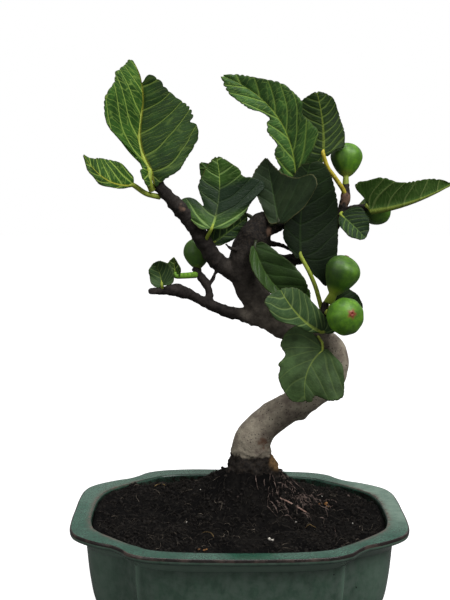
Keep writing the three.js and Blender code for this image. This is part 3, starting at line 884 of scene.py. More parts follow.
def icosahedron() -> tuple[Array, Array]:
    """Regular solid of 20 triangles and radius 1.

    Returns:
        Its 12 corners and its faces.
    """
    golden = (1 + 5**0.5) / 2
    one = [(-1, golden, 0), (1, golden, 0), (-1, -golden, 0), (1, -golden, 0)]
    corners = np.array([np.roll(corner, turn) for turn in (0, 1, 2) for corner in one], dtype=float)
    corners = unit(corners)
    side = np.sort(np.linalg.norm(corners[0] - corners, axis=1))[1] * 1.01
    near = np.linalg.norm(corners[:, None] - corners[None], axis=2) < side
    first, second, third = np.meshgrid(*[np.arange(12)] * 3, indexing="ij")
    joined = near[first, second] & near[second, third] & near[third, first]
    joined &= (first < second) & (second < third)
    faces = np.stack([first[joined], second[joined], third[joined]], axis=1)
    a, b, c = (corners[faces[:, k]] for k in range(3))
    inward = np.einsum("ij,ij->i", np.cross(b - a, c - a), a) < 0
    faces[inward] = faces[inward][:, ::-1]
    return corners, faces


def random_turns(rng: np.random.Generator, count: int) -> Array:
    """Random turns in space, each made from two random directions.

    Args:
        rng: Source of chance.
        count: How many turns.

    Returns:
        One matrix for each turn.
    """
    first = unit(rng.normal(size=(count, 3)))
    second = unit(np.cross(first, rng.normal(size=(count, 3))))
    return np.stack([first, second, np.cross(first, second)], axis=1)


@dataclass
class Pot:
    """Lobed rectangular pot with a rim flange, a notch at each corner, sunk long panels, feet and drains.

    Sizes are in millimetres; a share is a part of the rim's plan.
    """

    floor_height: float = 18.0
    quarter: tuple[Row, ...] = (
        (0, 110), (23, 109.6), (45, 108.5), (70, 105), (85, 98), (93, 88), (101, 80.5),
        (112, 75), (125, 66), (134, 56), (138.6, 42), (140, 21), (140, 0),
    )
    inner_quarter: tuple[Row, ...] = (
        (0, 108), (25, 107.6), (48, 106.3), (66, 104), (81, 99.5), (90, 92.8), (98, 87),
        (107, 78.9), (116, 70.2), (126.5, 59.5), (135, 47), (140, 25), (141, 0),
    )
    inside_blend: float = 0.65
    warp_rise: float = 2.3
    warp_back: Pair = (-45.0, 55.0)
    warp_side: Pair = (45.0, -55.0)
    warp_heights: Pair = (50.0, 85.0)
    outer_wall: tuple[Row, ...] = (
        (0.72, 10), (0.8, 15), (0.862, 30), (0.89, 52), (0.904, 74), (0.908, 78), (0.95, 85),
    )
    lip: tuple[Row, ...] = (
        (0.984, 86.2), (0.997, 87.2), (1.0, 89), (0.998, 91.2), (0.986, 92), (0.893, 91.7), (0.886, 91.0),
    )
    under_lip: float = 87.6
    lip_inside: float = 0.886
    lip_side: float = 89.0
    lip_top: float = 91.0
    inner_wall: tuple[Row, ...] = ((0.876, 86), (0.85, 45), (0.81, 26), (0.74, 18))
    panel_recess: float = 1.4
    notch: Pair = (92.5, 88.5)
    notch_groove: float = 0.9
    notch_groove_width: float = 2.2
    panel_half_length: float = 79.5
    panel_nearest: float = 80.0
    panel_low: float = 24.0
    panel_high: float = 77.0
    panel_edge: float = 1.2
    pits: tuple[Row, ...] = (
        (-130.5, 54.5, 91.8, 2.4), (-127.2, 52.0, 91.8, 1.7), (33.6, -102.2, 91.8, 1.0),
        (57, -108.4, 91.6, 0.9), (95, -80, 77.6, 2.4), (79.5, -90, 61.8, 1.8),
    )
    foot_radius: float = 15.0
    # Heights, and how much wider than its radius a foot is there.
    foot_profile: tuple[Pair, ...] = ((0, -1.2), (0.4, -0.4), (1.2, 0), (12, 2), (14.5, 0))
    foot_stretch: float = 1.5
    foot_place: Pair = (70.0, 54.0)
    drain_radius: float = 8.0
    drain_spacing: float = 46.0
    plan_steps: int = 10
    profile_steps: int = 5
    round_sides: int = 48

    def plan(self, inward: float = 0.0) -> Array:
        """Rim seen from above: the quarter, mirrored twice, as a closed smooth run.

        Args:
            inward: 0 for the outer edge, 1 for the lip's inner edge, which cuts across the corner notches.

        Returns:
            Points of x and y, counter-clockwise from the middle of the right side.
        """
        outer = np.array(self.quarter)
        quarter = (outer + (np.array(self.inner_quarter) - outer) * inward)[::-1]
        back = np.concatenate([quarter[:-1], (quarter[1:] * [-1, 1])[::-1]])
        return smooth_run(np.concatenate([back, -back]), self.plan_steps, closed=True)

    def share_at(self, points: Array, inward: float = 0.0) -> Array:
        """Way from the pot's middle to each point as a share of the rim's reach in that direction.

        Args:
            points: Places in millimetres.
            inward: Which plan, as for plan.

        Returns:
            One share for each point.
        """
        plan = self.plan(inward)
        angle = np.arctan2(plan[:, 1], plan[:, 0])
        order = np.argsort(angle)
        heading = np.arctan2(points[:, 1], points[:, 0])
        reach = np.interp(heading, angle[order], np.hypot(*plan.T)[order], period=2 * np.pi)
        return np.hypot(points[:, 0], points[:, 1]) / reach

    def warp(self, x: Array, y: Array, z: Array | None = None) -> Array:
        """Rise of the rim towards its back left corner, where the pot warped a little in the kiln.

        Args:
            x: Places across.
            y: Places from front to back.
            z: Heights on the wall; at rim height without them.

        Returns:
            Millimetres that each place has risen.
        """
        rise = self.warp_rise * smooth_step(*self.warp_back, y) * smooth_step(*self.warp_side, x)
        return rise if z is None else rise * smooth_step(*self.warp_heights, z)

    def wall_share(self, rows: Sequence[Row], height: Array) -> Array:
        """Share of the plan that a wall has at some heights."""
        steps = np.array(sorted(rows, key=lambda row: row[1]), dtype=float)
        return np.interp(height, steps[:, 1], steps[:, 0])

    def body(self) -> Shell:
        """Turns the wall's profile round the plan: a point is plan times share, at the profile's height.

        The outer wall's long sides sink by the panel's recess between the panel's edges, and a groove runs
        down the wall under each corner notch, as a bell across the plan.

        Returns:
            The closed body without feet and drains.
        """
        low = self.outer_wall[0][1]
        under = [(0.03, low), (0.3, low), (0.6, low)]
        inside = [(0.6, self.floor_height), (0.3, self.floor_height), (0.03, self.floor_height)]
        wall = smooth_run([*self.outer_wall, *self.lip, *self.inner_wall], self.profile_steps)
        profile = np.concatenate([under, wall, inside])
        plan = self.plan()
        outside = np.arange(len(profile)) < len(under) + len(self.outer_wall) * self.profile_steps
        inward = self.inside_blend + (1 - self.inside_blend) * smooth_step(86, 91, profile[:, 1])
        inward = np.where(outside, 0.0, inward * smooth_step(0.975, 0.9, profile[:, 0]))[:, None, None]
        points = np.empty((len(profile), len(plan), 3))
        points[..., :2] = (plan + (self.plan(1.0) - plan) * inward) * profile[:, None, :1]
        points[..., 2] = profile[:, None, 1]
        x, y, z = points[..., 0], points[..., 1], points[..., 2]
        along = smooth_step(self.panel_half_length + self.panel_edge, self.panel_half_length, np.abs(x))
        up = smooth_step(self.panel_low - self.panel_edge, self.panel_low, z)
        up = up * smooth_step(self.panel_high + self.panel_edge, self.panel_high, z)
        sunk = along * up * outside[:, None] * (np.abs(y) > self.panel_nearest)
        points[..., 1] -= np.sign(y) * self.panel_recess * sunk
        off_notch = np.hypot(*(np.abs(plan) - self.notch).T)
        groove = self.notch_groove * bell(off_notch, self.notch_groove_width)
        points[..., :2] *= 1 - (outside[:, None] * groove / np.hypot(*plan.T))[..., None]
        points[..., 2] += self.warp(x, y, z)
        return capped(points)

    def foot(self, side_x: int, side_y: int) -> Shell:
        """One low foot: an oval turned from a flared profile with a rounded lower edge.

        Args:
            side_x: 1 for the right end and -1 for the left.
            side_y: 1 for the back and -1 for the front.

        Returns:
            The closed foot.
        """
        height, wider = np.array(self.foot_profile).T[..., None]
        turn = 2 * np.pi * np.arange(self.round_sides) / self.round_sides
        ring = np.stack([np.cos(turn) * self.foot_stretch, np.sin(turn)], axis=1)
        points = np.empty((len(height), len(turn), 3))
        points[..., :2] = ring * (self.foot_radius + wider)[:, None]
        points[..., :2] += np.array(self.foot_place) * [side_x, side_y]
        points[..., 2] = height
        return capped(points)

    def drain(self, side: int) -> Shell:
        """Plug that cuts one drain hole through the floor."""
        run = np.array([[side * self.drain_spacing, 0.0, z] for z in (4.0, self.floor_height + 4.0)])
        return swept(run, np.full(2, self.drain_radius), self.round_sides)

    def cut(self, piece: Piece, tools: Sequence[Shell], operation: str) -> None:
        """Joins tool shells to a piece, or cuts them from it.

        Args:
            piece: Piece to change.
            tools: Closed shells to use.
            operation: "UNION" or "DIFFERENCE".
        """
        tool = build_piece("tool", tools)
        change = piece.modifiers.new("change", "BOOLEAN")
        change.operation = operation
        change.solver = "EXACT"
        change.object = tool
        apply_modifiers(piece)
        bpy.data.objects.remove(tool)

    def build(self) -> None:
        """Makes the glazed pot."""
        pits = np.array(self.pits)
        pits = np.column_stack([metres(pits[:, :3]), pits[:, 3] * METRE_PER_MM])
        piece = build_piece("pot_glazed", [self.body()], GlazedStoneware().material(pits))
        self.cut(piece, [self.drain(side) for side in (-1, 1)], "DIFFERENCE")
        self.cut(piece, [self.foot(side_x, side_y) for side_x in (-1, 1) for side_y in (-1, 1)], "UNION")
        piece.data.shade_smooth()
        self.dress(piece)
        enlist(piece, "glazed_pot", "pot")

    def dress(self, piece: Piece) -> None:
        """Marks how the glaze lies: thin on lip and panel's edge, pooled, dirty inside, none underneath.

        It also marks painted light: a sheen on the rim's top, and lighter bands under the flange and at the
        ends.

        Args:
            piece: The finished pot.
        """
        points = millimetres(point_rows(piece, "co"))
        side_way, depth = np.abs(points[:, 0]), points[:, 1]
        height = points[:, 2] - self.warp(*points.T)
        share, inner_share = self.share_at(points), self.share_at(points, self.inside_blend)
        off_outer = np.abs(share - self.wall_share(self.outer_wall, height))
        outer = off_outer < np.abs(inner_share - self.wall_share(self.inner_wall, height))
        outer = outer | (height < self.floor_height - 1)
        lip_share = self.share_at(points, 1.0)
        inside = (lip_share < self.lip_inside + 0.003) & ~outer
        under_lip = bell(height, 1.0, self.under_lip) * (share > 0.97)
        inner_edge = bell(lip_share, 0.0045, self.lip_inside) * (height > self.lip_side)
        over = bell(height - self.panel_high, 0.9, self.panel_edge)
        over = over * (side_way < self.panel_half_length + self.panel_edge)
        beside = bell(side_way - self.panel_half_length, 2.2, self.panel_edge)
        edges = np.maximum(over, beside * (height < self.panel_high))
        long_side = outer * (np.abs(depth) > self.panel_nearest)
        wall = outer * smooth_step(self.lip_top, 89.6, height)
        # Painted light: the wall between the panel's top and the lip, the flange's underside, is lightened
        # to look lit from below.
        painted_light_band = wall * smooth_step(self.panel_high + 1, self.panel_high + 3, height) * (share < 0.98)
        # Thin glaze at the pot's ends, partly painted light that lightens the ends.
        ends_thin_glaze_and_painted_light = wall * smooth_step(88, 112, side_way)
        on_top = (height > self.lip_top - 0.5) * (lip_share > self.lip_inside - 0.002)
        right_back = smooth_step(80, 118, points[:, 0]) * smooth_step(-62, -5, depth)
        fringe = smooth_step(0.915, 0.893, lip_share) * (height > self.lip_side)
        underneath = self.outer_wall[0][1]
        mark(
            piece,
            # Ridge: thin glaze on the panel's edges, plus painted light on the flange's underside and the
            # ends.
            ridge=np.maximum(long_side * edges, np.maximum(painted_light_band, 0.45 * ends_thin_glaze_and_painted_light)),
            lip=smooth_step(0.987, 0.993, share) * smooth_step(88.6, 90.2, height),
            wall=wall,
            pooling=np.maximum(0.6 * under_lip, 0.85 * inner_edge),
            # Painted sheen: a pale reflection on the rim's top, strongest at the back right.
            milky=on_top * np.maximum(0.75 * right_back, 0.2 * smooth_step(-30, 60, depth)),
            grimy=fringe * on_top * smooth_step(78, 104, side_way),
            dirty=inside * smooth_step(self.lip_top, 89.0, height),
            unglazed=smooth_step(underneath + 4, underneath + 2, height) * outer,
        )


@dataclass(frozen=True)
class Heap:
    """Loose bits of one kind on the soil, in millimetres.

    Attributes:
        count: Number of bits.
        size: Smallest and largest radius of lumps, or shortest and longest thread.
        thickness: Thinnest and thickest radius of threads; lumps have none.
        patch: Middle x, middle y and spread of their place; without one they lie all over the soil.
        nearest: Share of the rim's plan inside which no bit starts.
    """

    count: int
    size: Pair
    thickness: Pair | None = None
    patch: Point | None = None
    nearest: float = 0.2


@dataclass
class Soil:
    """Potting compost that fills the pot and rises in a mound round the trunk, in millimetres."""

    pot: Pot
    gap_share: float = 0.0045
    edge_share: float = 0.877
    edge_height: float = 87.0
    mound_rise: float = 40.0
    mound_spread: float = 42.0
    mound_centre: Pair = (11.0, 30.0)
    inner_share: float = 0.12
    heap: float = 3.4
    back_dip: float = 5.0
    edge_drop: float = 1.2
    wall_heights: Row = (18.4, 26.0, 45.0, 70.0)
    hole_height: float = 60.0
    rings: int = 118
    # Names, looks and heaps of the loose bits, in the order in which they are drawn at random.
    litter: tuple[tuple[str, SoilBit, tuple[Heap, ...]], ...] = (
        (
            "soil_flakes", SoilBit("dry_bud_scale", "#54352a", "#a97c48", 4.0),
            (Heap(4, (1.1, 2.3), patch=(-28, -84, 5.5)), Heap(4, (1.1, 2.3), patch=(75, 16, 3.5))),
        ),
        ("soil_crumbs", SoilBit("compost_crumb", "#0a0909", "#24211e"), (Heap(5600, (0.35, 1.9)),)),
        (
            "soil_rootlets", SoilBit("root_hair", "#161412", "#3b3631"),
            (Heap(1500, (3, 10), (0.12, 0.3)),),
        ),
        (
            "soil_runners", SoilBit("woody_root", "#241c1a", "#8a7870"),
            (Heap(90, (4, 14), (0.18, 0.5), (49, 14, 17)),),
        ),
        (
            "soil_bark_bits", SoilBit("bark_crumb", "#221c1a", "#5f534d"),
            (Heap(150, (0.4, 1.5), patch=(49, 14, 17)),),
        ),
        (
            "soil_pale_fibres", SoilBit("pale_fibre", "#3c362f", "#857b6e"),
            (Heap(90, (3, 11), (0.12, 0.28)),),
        ),
        (
            "soil_straw", SoilBit("dry_straw", "#4f3f29", "#8d7850"),
            (Heap(8, (7, 20), (0.25, 0.5), nearest=0.5),),
        ),
        (
            "soil_perlite", SoilBit("perlite_grain", "#b9b2a6", "#e8e4dc"),
            (Heap(8, (0.5, 1.2)), Heap(2, (0.9, 1.3), patch=(47.5, -26, 1.2)),
             Heap(2, (0.9, 1.3), patch=(24, -58, 0.8))),
        ),
    )
    twig: tuple[Pair, ...] = ((35.0, -2.0), (46.0, -4.0), (57.0, -9.0))
    twig_radius: float = 0.7
    twig_look: SoilBit = SoilBit("dead_twig", "#74584d", "#b3988b", 4.0)
    seed: int = 11

    def height(self, x: Array, y: Array) -> Array:
        """Soil's height: its edge plus a bell round the trunk, soft lumps and crumbled grain.

        Args:
            x: Places across.
            y: Places from front to back.

        Returns:
            One height for each place.
        """
        from_trunk = np.hypot(x - self.mound_centre[0], y - self.mound_centre[1])
        mound = self.mound_rise * bell(from_trunk, self.mound_spread)
        lumps = 0.9 * np.sin(x / 9 + 1.3) * np.cos(y / 11 - 0.6) + 0.6 * np.sin(x / 5 + y / 7)
        flat = np.stack([x, y, np.zeros_like(x)], axis=-1).reshape(-1, 3)
        grain = 1.1 * lattice_noise(flat, 8.0, 1) + 0.9 * lattice_noise(flat, 3.4, 2)
        grain = grain + 0.6 * lattice_noise(flat, 1.9, 3)
        grain = grain + self.heap * smooth_step(10.0, -110.0, flat[:, 0])
        away = smooth_step(22.0, 50.0, np.abs(flat[:, 0] - self.mound_centre[0]))
        grain = grain - self.back_dip * smooth_step(62.0, 92.0, flat[:, 1]) * away
        return self.edge_height + mound + lumps + grain.reshape(x.shape) + self.pot.warp(x, y)

    def place(self, share: Array, way: Array) -> Array:
        """Point of the soil's top.

        Args:
            share: Part of the rim's plan.
            way: Part of the way round the plan, from 0 to 1.

        Returns:
            Places; rings shift towards the trunk as they get smaller.
        """
        plan = self.pot.plan(self.pot.inside_blend)
        turn = np.arange(len(plan) + 1) / len(plan)
        closed = np.concatenate([plan, plan[:1]])
        pull = 1 - share / self.edge_share
        x, y = (np.interp(way, turn, closed[:, k]) * share + self.mound_centre[k] * pull for k in (0, 1))
        edge = smooth_step(self.edge_share - self.gap_share, self.edge_share - 0.03, share)
        return np.stack([x, y, self.height(x, y) - self.edge_drop * (1 - edge)], axis=-1)

    def body(self) -> Shell:
        """Body of the soil: up the pot's wall, in over the top, down a plain hole, back along the floor.

        Returns:
            The closed body.
        """
        columns = len(self.pot.plan())
        share = np.linspace(self.edge_share - self.gap_share, self.inner_share, self.rings)[:, None]
        top = self.place(*np.broadcast_arrays(share, np.arange(columns) / columns))
        heights = np.array(self.wall_heights)
        wall_shares = self.pot.wall_share(self.pot.inner_wall, heights) - self.gap_share
        wall = np.empty((len(heights), columns, 3))
        wall[..., :2] = self.pot.plan(self.pot.inside_blend)[None] * wall_shares[:, None, None]
        wall[..., 2] = heights[:, None]
        hole = top[-1:].repeat(2, axis=0)
        hole[:, :, 2] = [[self.hole_height], [self.wall_heights[0]]]
        points = np.concatenate([wall, top, hole])
        return Shell(points.reshape(-1, 3), [grid_quads(len(points), columns, ring=True, loop=True)])

    def scatter(self, rng: np.random.Generator, heap: Heap) -> Array:
        """Random places on the soil's top, evenly spread over its area."""
        share = np.sqrt(rng.uniform(heap.nearest**2, (self.edge_share - 0.02) ** 2, heap.count))
        return self.place(share, rng.uniform(0, 1, heap.count))

    def crumbs(self, rng: np.random.Generator, heap: Heap) -> Shell:
        """Lumps of 20 faces: each is an icosahedron with its corners pulled in or out, sunk a little.

        Args:
            rng: Source of the places and shapes.
            heap: Which lumps.

        Returns:
            All lumps as one set of closed shells.
        """
        corners, faces = icosahedron()
        count, (least, most) = heap.count, heap.size
        radius = least + (most - least) * rng.uniform(0, 1, count) ** 3
        stretch = rng.uniform(0.6, 1.3, (count, 1, 3)) * rng.uniform(0.8, 1.2, (count, len(corners), 1))
        lumps = corners[None] * stretch * radius[:, None, None]
        lumps = np.einsum("nij,nkj->nki", random_turns(rng, count), lumps)
        places = self.scatter(rng, heap)
        if heap.patch:
            places[:, :2] = rng.normal(heap.patch[:2], heap.patch[2], (count, 2))
            places[:, 2] = self.height(places[:, 0], places[:, 1])
        places[:, 2] += radius * 0.25
        lumps += places[:, None]
        numbers = faces[None] + len(corners) * np.arange(count)[:, None, None]
        return Shell(lumps.reshape(-1, 3), [numbers.reshape(-1, 3)])

    def fibres(self, rng: np.random.Generator, heap: Heap) -> Shell:
        """Thin bent threads that lie on the soil: triangular tubes along short arcs.

        A thread's middle points follow an arc in plan, take the soil's height there, and lift a little.

        Args:
            rng: Source of the places and shapes.
            heap: Which threads; those of a patch head away from the trunk.

        Returns:
            All threads as one set of closed shells.
        """
        count, steps, sides = heap.count, 7, 3
        start = self.scatter(rng, heap)
        heading = rng.uniform(0, 2 * np.pi, count)[:, None]
        bend = rng.normal(0, 1.1, count)[:, None]
        if heap.patch:
            start[:, :2] = rng.normal(heap.patch[:2], heap.patch[2], (count, 2))
            heading = rng.normal(-0.8, 0.8, (count, 1))
            bend = bend * 0.4
        share = np.linspace(0, 1, steps)[None]
        step = rng.uniform(*heap.size, count)[:, None] / (steps - 1)
        angle = heading + bend * share
        x = start[:, :1] + np.cumsum(np.cos(angle) * step, axis=1)
        y = start[:, 1:2] + np.cumsum(np.sin(angle) * step, axis=1)
        flat = np.stack([x, y, np.zeros_like(x)], axis=-1).reshape(-1, 3)
        room = self.edge_share - 0.03
        pull = np.minimum(1.0, room / self.pot.share_at(flat, self.pot.inside_blend)).reshape(x.shape)
        x, y = x * pull, y * pull
        lift = rng.uniform(0.1, 2.2, count)[:, None] * np.sin(np.pi * share) + 0.25
        middle = np.stack([x, y, self.height(x, y) + lift], axis=-1)
        along = unit(np.gradient(middle, axis=1))
        across = unit(np.cross(along, [0.0, 0.0, 1.0]))
        thick = rng.uniform(*heap.thickness, count)[:, None, None, None]
        thick = thick * (1 - 0.5 * share[..., None, None])
        rings = middle[:, :, None] + thick * ring_ways(across, np.cross(along, across), sides)
        body = grid_quads(steps, sides, ring=True)
        ends = np.array([[2, 1, 0], [0, 1, 2]]) + np.array([[0], [(steps - 1) * sides]])
        first = steps * sides * np.arange(count)[:, None, None]
        faces = [(body[None] + first).reshape(-1, 4), (ends[None] + first).reshape(-1, 3)]
        return Shell(rings.reshape(-1, 3), faces)

    def fallen_twig(self) -> Shell:
        """One dead twig, a smooth bar that lies on the soil.

        Returns:
            The closed bar.
        """
        flat = np.array(self.twig)
        rows = np.column_stack([flat, self.height(flat[:, 0], flat[:, 1]) + self.twig_radius])
        run = smooth_run(rows, 8)
        return swept(run, np.full(len(run), self.twig_radius), 8)

    def build(self) -> None:
        """Makes the compost and what lies in it."""
        rng = np.random.default_rng(self.seed)
        enlist(build_piece("soil_compost", [self.body()], PottingCompost().material()), "soil", "soil")
        for name, bit, heaps in self.litter:
            shells = [(self.fibres if heap.thickness else self.crumbs)(rng, heap) for heap in heaps]
            enlist(build_piece(name, shells, bit.material()), "soil")
        enlist(build_piece("soil_twig", [self.fallen_twig()], self.twig_look.material()), "soil")


@dataclass
class Wood:
    """Trunk, limbs, twigs and surface roots, grown as one, in millimetres.

    A run is rows of x, y, z and radius. A knob is its x, y, z, radius, rise and how far it is a scar.
    """

    trunk: tuple[Row, ...] = (
        (11, 30, 84, 17), (11, 30, 104, 18.5), (11, 30, 116, 18.8), (11, 30, 126, 18.4),
        (11, 30, 135, 17.4), (13, 29, 146, 16.2), (20, 28, 157, 14.6), (31, 27, 167, 13.9),
        (45, 26, 176, 13), (59, 25, 184, 12.6), (71, 24, 193, 12.1), (80, 24, 204, 12.1),
        (83, 24, 216, 12), (79, 25, 228, 11.6), (68, 26, 236, 11.2), (53, 27, 243, 10.8),
        (36, 28, 248.5, 11.4), (23, 29, 260, 12.6), (13, 30, 273, 11.9), (6, 30, 286, 11.9),
        (4, 30, 300, 13.5), (8, 30, 314, 13.6), (14, 30, 325, 13.4), (19, 30, 335, 10),
    )
    limbs: tuple[tuple[Row, ...], ...] = (
        ((4, 30, 292, 10), (-6.5, 28, 294.5, 7.8), (-18, 26, 303, 7.2), (-27, 23, 314.5, 6.8),
         (-34, 20, 327, 6.4), (-43, 17, 341, 6.2), (-55, 14, 354, 5.5), (-67, 12, 367, 4.6)),
        ((30, 28, 251, 8), (13, 28, 254.5, 6.9), (0, 26, 258, 5.4), (-10, 24, 260, 4.9),
         (-25, 20, 267, 4.3), (-39, 14, 275, 3.7), (-52, 8, 281, 4.9), (-63, 2, 281, 3.5),
         (-73, -2, 281, 2.8)),
        ((-24, 20, 265, 3.2), (-26, 22, 280, 3.4), (-31, 26, 288, 3.4), (-37, 35, 295, 3.3)),
        ((-26, 22, 282, 1.5), (-22, 23, 288, 1.4), (-17, 25, 300, 1.4)),
        ((10, 32, 295, 6.9), (31, 37, 302, 5.3), (53, 42, 303, 4.8), (71, 46, 311, 4.3),
         (83, 49, 329, 3.9), (90, 51, 346, 3.6), (93, 52, 357, 4), (93, 53, 365, 3.2)),
        ((90, 51, 343, 3), (101, 45, 347, 2.8), (111, 40, 348, 2.4)),
        ((14, 30, 328, 8), (27, 27, 331, 5.5), (38, 32, 333, 3.2)),
        ((22, 30, 318, 3), (36, 34, 316, 1.8), (50, 40, 309, 1.8)),
        ((76, 24, 228, 6), (73, 19, 245, 4.7), (72, 16, 261, 3.9), (73, 14, 268, 3.2)),
        ((14, 32, 318, 6), (18, 48, 328, 4), (16, 60, 336, 3)),
        ((18, 28, 134, 6), (24, 26, 127, 7), (28, 24, 116, 6), (31, 20, 102, 3)),
        ((4, 27, 122, 9), (-6, 22, 112, 6.5), (-14, 16, 100, 3)),
        ((10, 36, 124, 9), (6, 46, 114, 6), (2, 54, 98, 3)),
        ((0, 22, 313, 2.4), (-7, 16, 315, 1.4), (-11, 13, 318.5, 1.1)),
    )
    steps: int = 8
    sides: int = 28
    voxel: float = 0.85
    soften: int = 5
    graft_height: float = 137.0
    ridge_rise: float = 0.6
    ridge_width: float = 1.6
    knobs: tuple[Row, ...] = (
        (-48.5, 9.5, 348.5, 4.2, 1.8, 1), (25, 21, 328.5, 4, 2.2, 1), (-36, 15, 323.5, 4.5, 1.3, 0.35),
        (-52.5, 12, 341.5, 3.5, 1.5, 0.2), (-22, 16, 303.5, 5, 1.2, 0.2), (56, 24, 168, 5, 2.6, 0),
        (-51.5, 3, 279, 4.5, 1.6, 0), (-47.5, 8, 275, 3.5, 1.6, 0), (-2, 18, 262, 5, 1, 0.3),
        (30, 18, 131, 8, 1.6, 0), (-66, 12, 372, 3, 1.2, 0.3), (9, 16, 290, 5, 1.2, 0),
        (92, 49, 356, 8, 0.3, 1), (21, 15, 147, 7, 0.1, 0.8), (26, 19, 140, 4.5, 0.2, 0.75),
    )
    # Width of the bark's dents, their depth on old wood, and how much deeper they are on young wood.
    bark_noise: tuple[Point, ...] = ((8.0, 0.5, 0.25), (3.2, 0.2, 0.22), (1.6, 0.08, 0.12))
    rusty_place: Row = (32, 24, 128)
    rusty_radius: float = 8.0
    foot_roughness: float = 1.5
    foot_flare: float = 1.8
    node_spacing: float = 9.0
    node_rise: float = 0.13
    node_width: float = 0.9
    fine_step: float = 0.8
    root_top: float = 150.0
    old_end: float = 0.585
    old_blend: float = 0.05

    def tube(self, rows: Sequence[Row], nodes: bool) -> Shell:
        """Smooth tube with a rounded far end; on young wood a low ring marks each old leaf's place.

        The radius swells by node_rise at every node_spacing along the tube, as a narrow bell.

        Args:
            rows: The tube's run.
            nodes: Whether it has these rings.

        Returns:
            The closed tube.
        """
        run = smooth_run(rows, self.steps)
        if nodes:
            run = evenly_spaced(run, int(reach_along(run)[-1] / self.fine_step))
            off_node = np.abs((reach_along(run) / self.node_spacing + 0.5) % 1 - 0.5) * self.node_spacing
            run[:, 3] *= 1 + self.node_rise * bell(off_node, self.node_width)
        radii = run[:, 3]
        heading = unit(run[-1:, :3] - run[-2:-1, :3])
        cap = np.array([0.35, 0.7, 0.92])
        ends = run[-1:, :3] + heading * cap[:, None] * radii[-1]
        radii = np.concatenate([radii, radii[-1] * np.sqrt(1 - cap**2)])
        return swept(np.concatenate([run[:, :3], ends]), radii, self.sides)

    def relief(self, points: Array, share: Array) -> Array:
        """Height of the bark's relief: soft dents, small bumps, a callus ridge and a rough foot under it.

        Args:
            points: Places in millimetres.
            share: Share of the trunk's length at each point.

        Returns:
            Millimetres to move each point outwards.
        """
        height = points[:, 2]
        wave = 1.6 * np.sin(points[:, 0] / 3.1 + 0.8) + 0.8 * np.sin(points[:, 1] / 2.3)
        ridge = bell(height - self.graft_height - wave, self.ridge_width)
        foot = smooth_step(self.graft_height, self.graft_height - 4, height)
        young = smooth_step(self.old_end - self.old_blend, self.old_end + self.old_blend, share)
        relief = 0.0
        for seed, (size, old_depth, more) in enumerate(self.bark_noise, 21):
            relief = relief + (old_depth + more * young) * lattice_noise(points, size, seed)
        relief = relief + (self.near_knobs(points) * np.array(self.knobs)[:, 4]).sum(axis=1)
        rough = lattice_noise(points * [1, 1, 0.6], 3.6, 24) + 0.6 * lattice_noise(points, 1.7, 25)
        flare = self.foot_flare * smooth_step(self.graft_height - 5, self.graft_height - 13, height)
        return relief + ridge * self.ridge_rise + foot * (self.foot_roughness * rough - 0.5 + flare)

    def near_knobs(self, points: Array) -> Array:
        """Closeness to each knob: a bell of the knob's radius, 1 in its middle.

        Args:
            points: Places in millimetres.

        Returns:
            One value for each point and knob.
        """
        knobs = np.array(self.knobs)
        square = ((points[:, None] - knobs[None, :, :3]) ** 2).sum(axis=2)
        return np.exp(-square / knobs[:, 3] ** 2)

    def trunk_share(self, points: Array) -> tuple[Array, Array]:
        """Nearest place on the trunk's run.

        Args:
            points: Places in millimetres.

        Returns:
            Share of the trunk's length there, and the way to it as a multiple of the trunk's radius.
        """
        run = smooth_run(self.trunk, 3)
        middle, reach = run[:, :3], reach_along(run[:, :3])
        square = (points**2).sum(axis=1)[:, None] + (middle**2).sum(axis=1) - 2 * points @ middle.T
        nearest = square.argmin(axis=1)
        away = np.sqrt(np.maximum(square[np.arange(len(points)), nearest], 0))
        return (reach / reach[-1])[nearest], away / run[nearest, 3]

    def build(self) -> None:
        """Makes the wood: tubes merged by a voxel remesh, softened where they join, then given bark."""
        tubes = [self.tube(self.trunk, False)] + [
            self.tube(limb, limb[0][2] > self.root_top) for limb in self.limbs
        ]
        piece = build_piece("wood_barked", tubes)
        merge = piece.modifiers.new("merge", "REMESH")
        merge.mode = "VOXEL"
        merge.voxel_size = self.voxel * METRE_PER_MM
        soft = piece.modifiers.new("soft", "SMOOTH")
        soft.factor = 0.5
        soft.iterations = self.soften
        apply_modifiers(piece)
        points = millimetres(point_rows(piece, "co"))
        share, away = self.trunk_share(points)
        moved = points + point_rows(piece, "normal") * self.relief(points, share)[:, None]
        piece.data.vertices.foreach_set("co", metres(moved).ravel())
        piece.data.update()
        piece.data.materials.clear()
        piece.data.materials.append(FigBark().material())
        piece.data.shade_smooth()
        self.dress(piece, points, share, smooth_step(1.9, 1.4, away))
        enlist(piece, "bark", "trunk_and_branches")

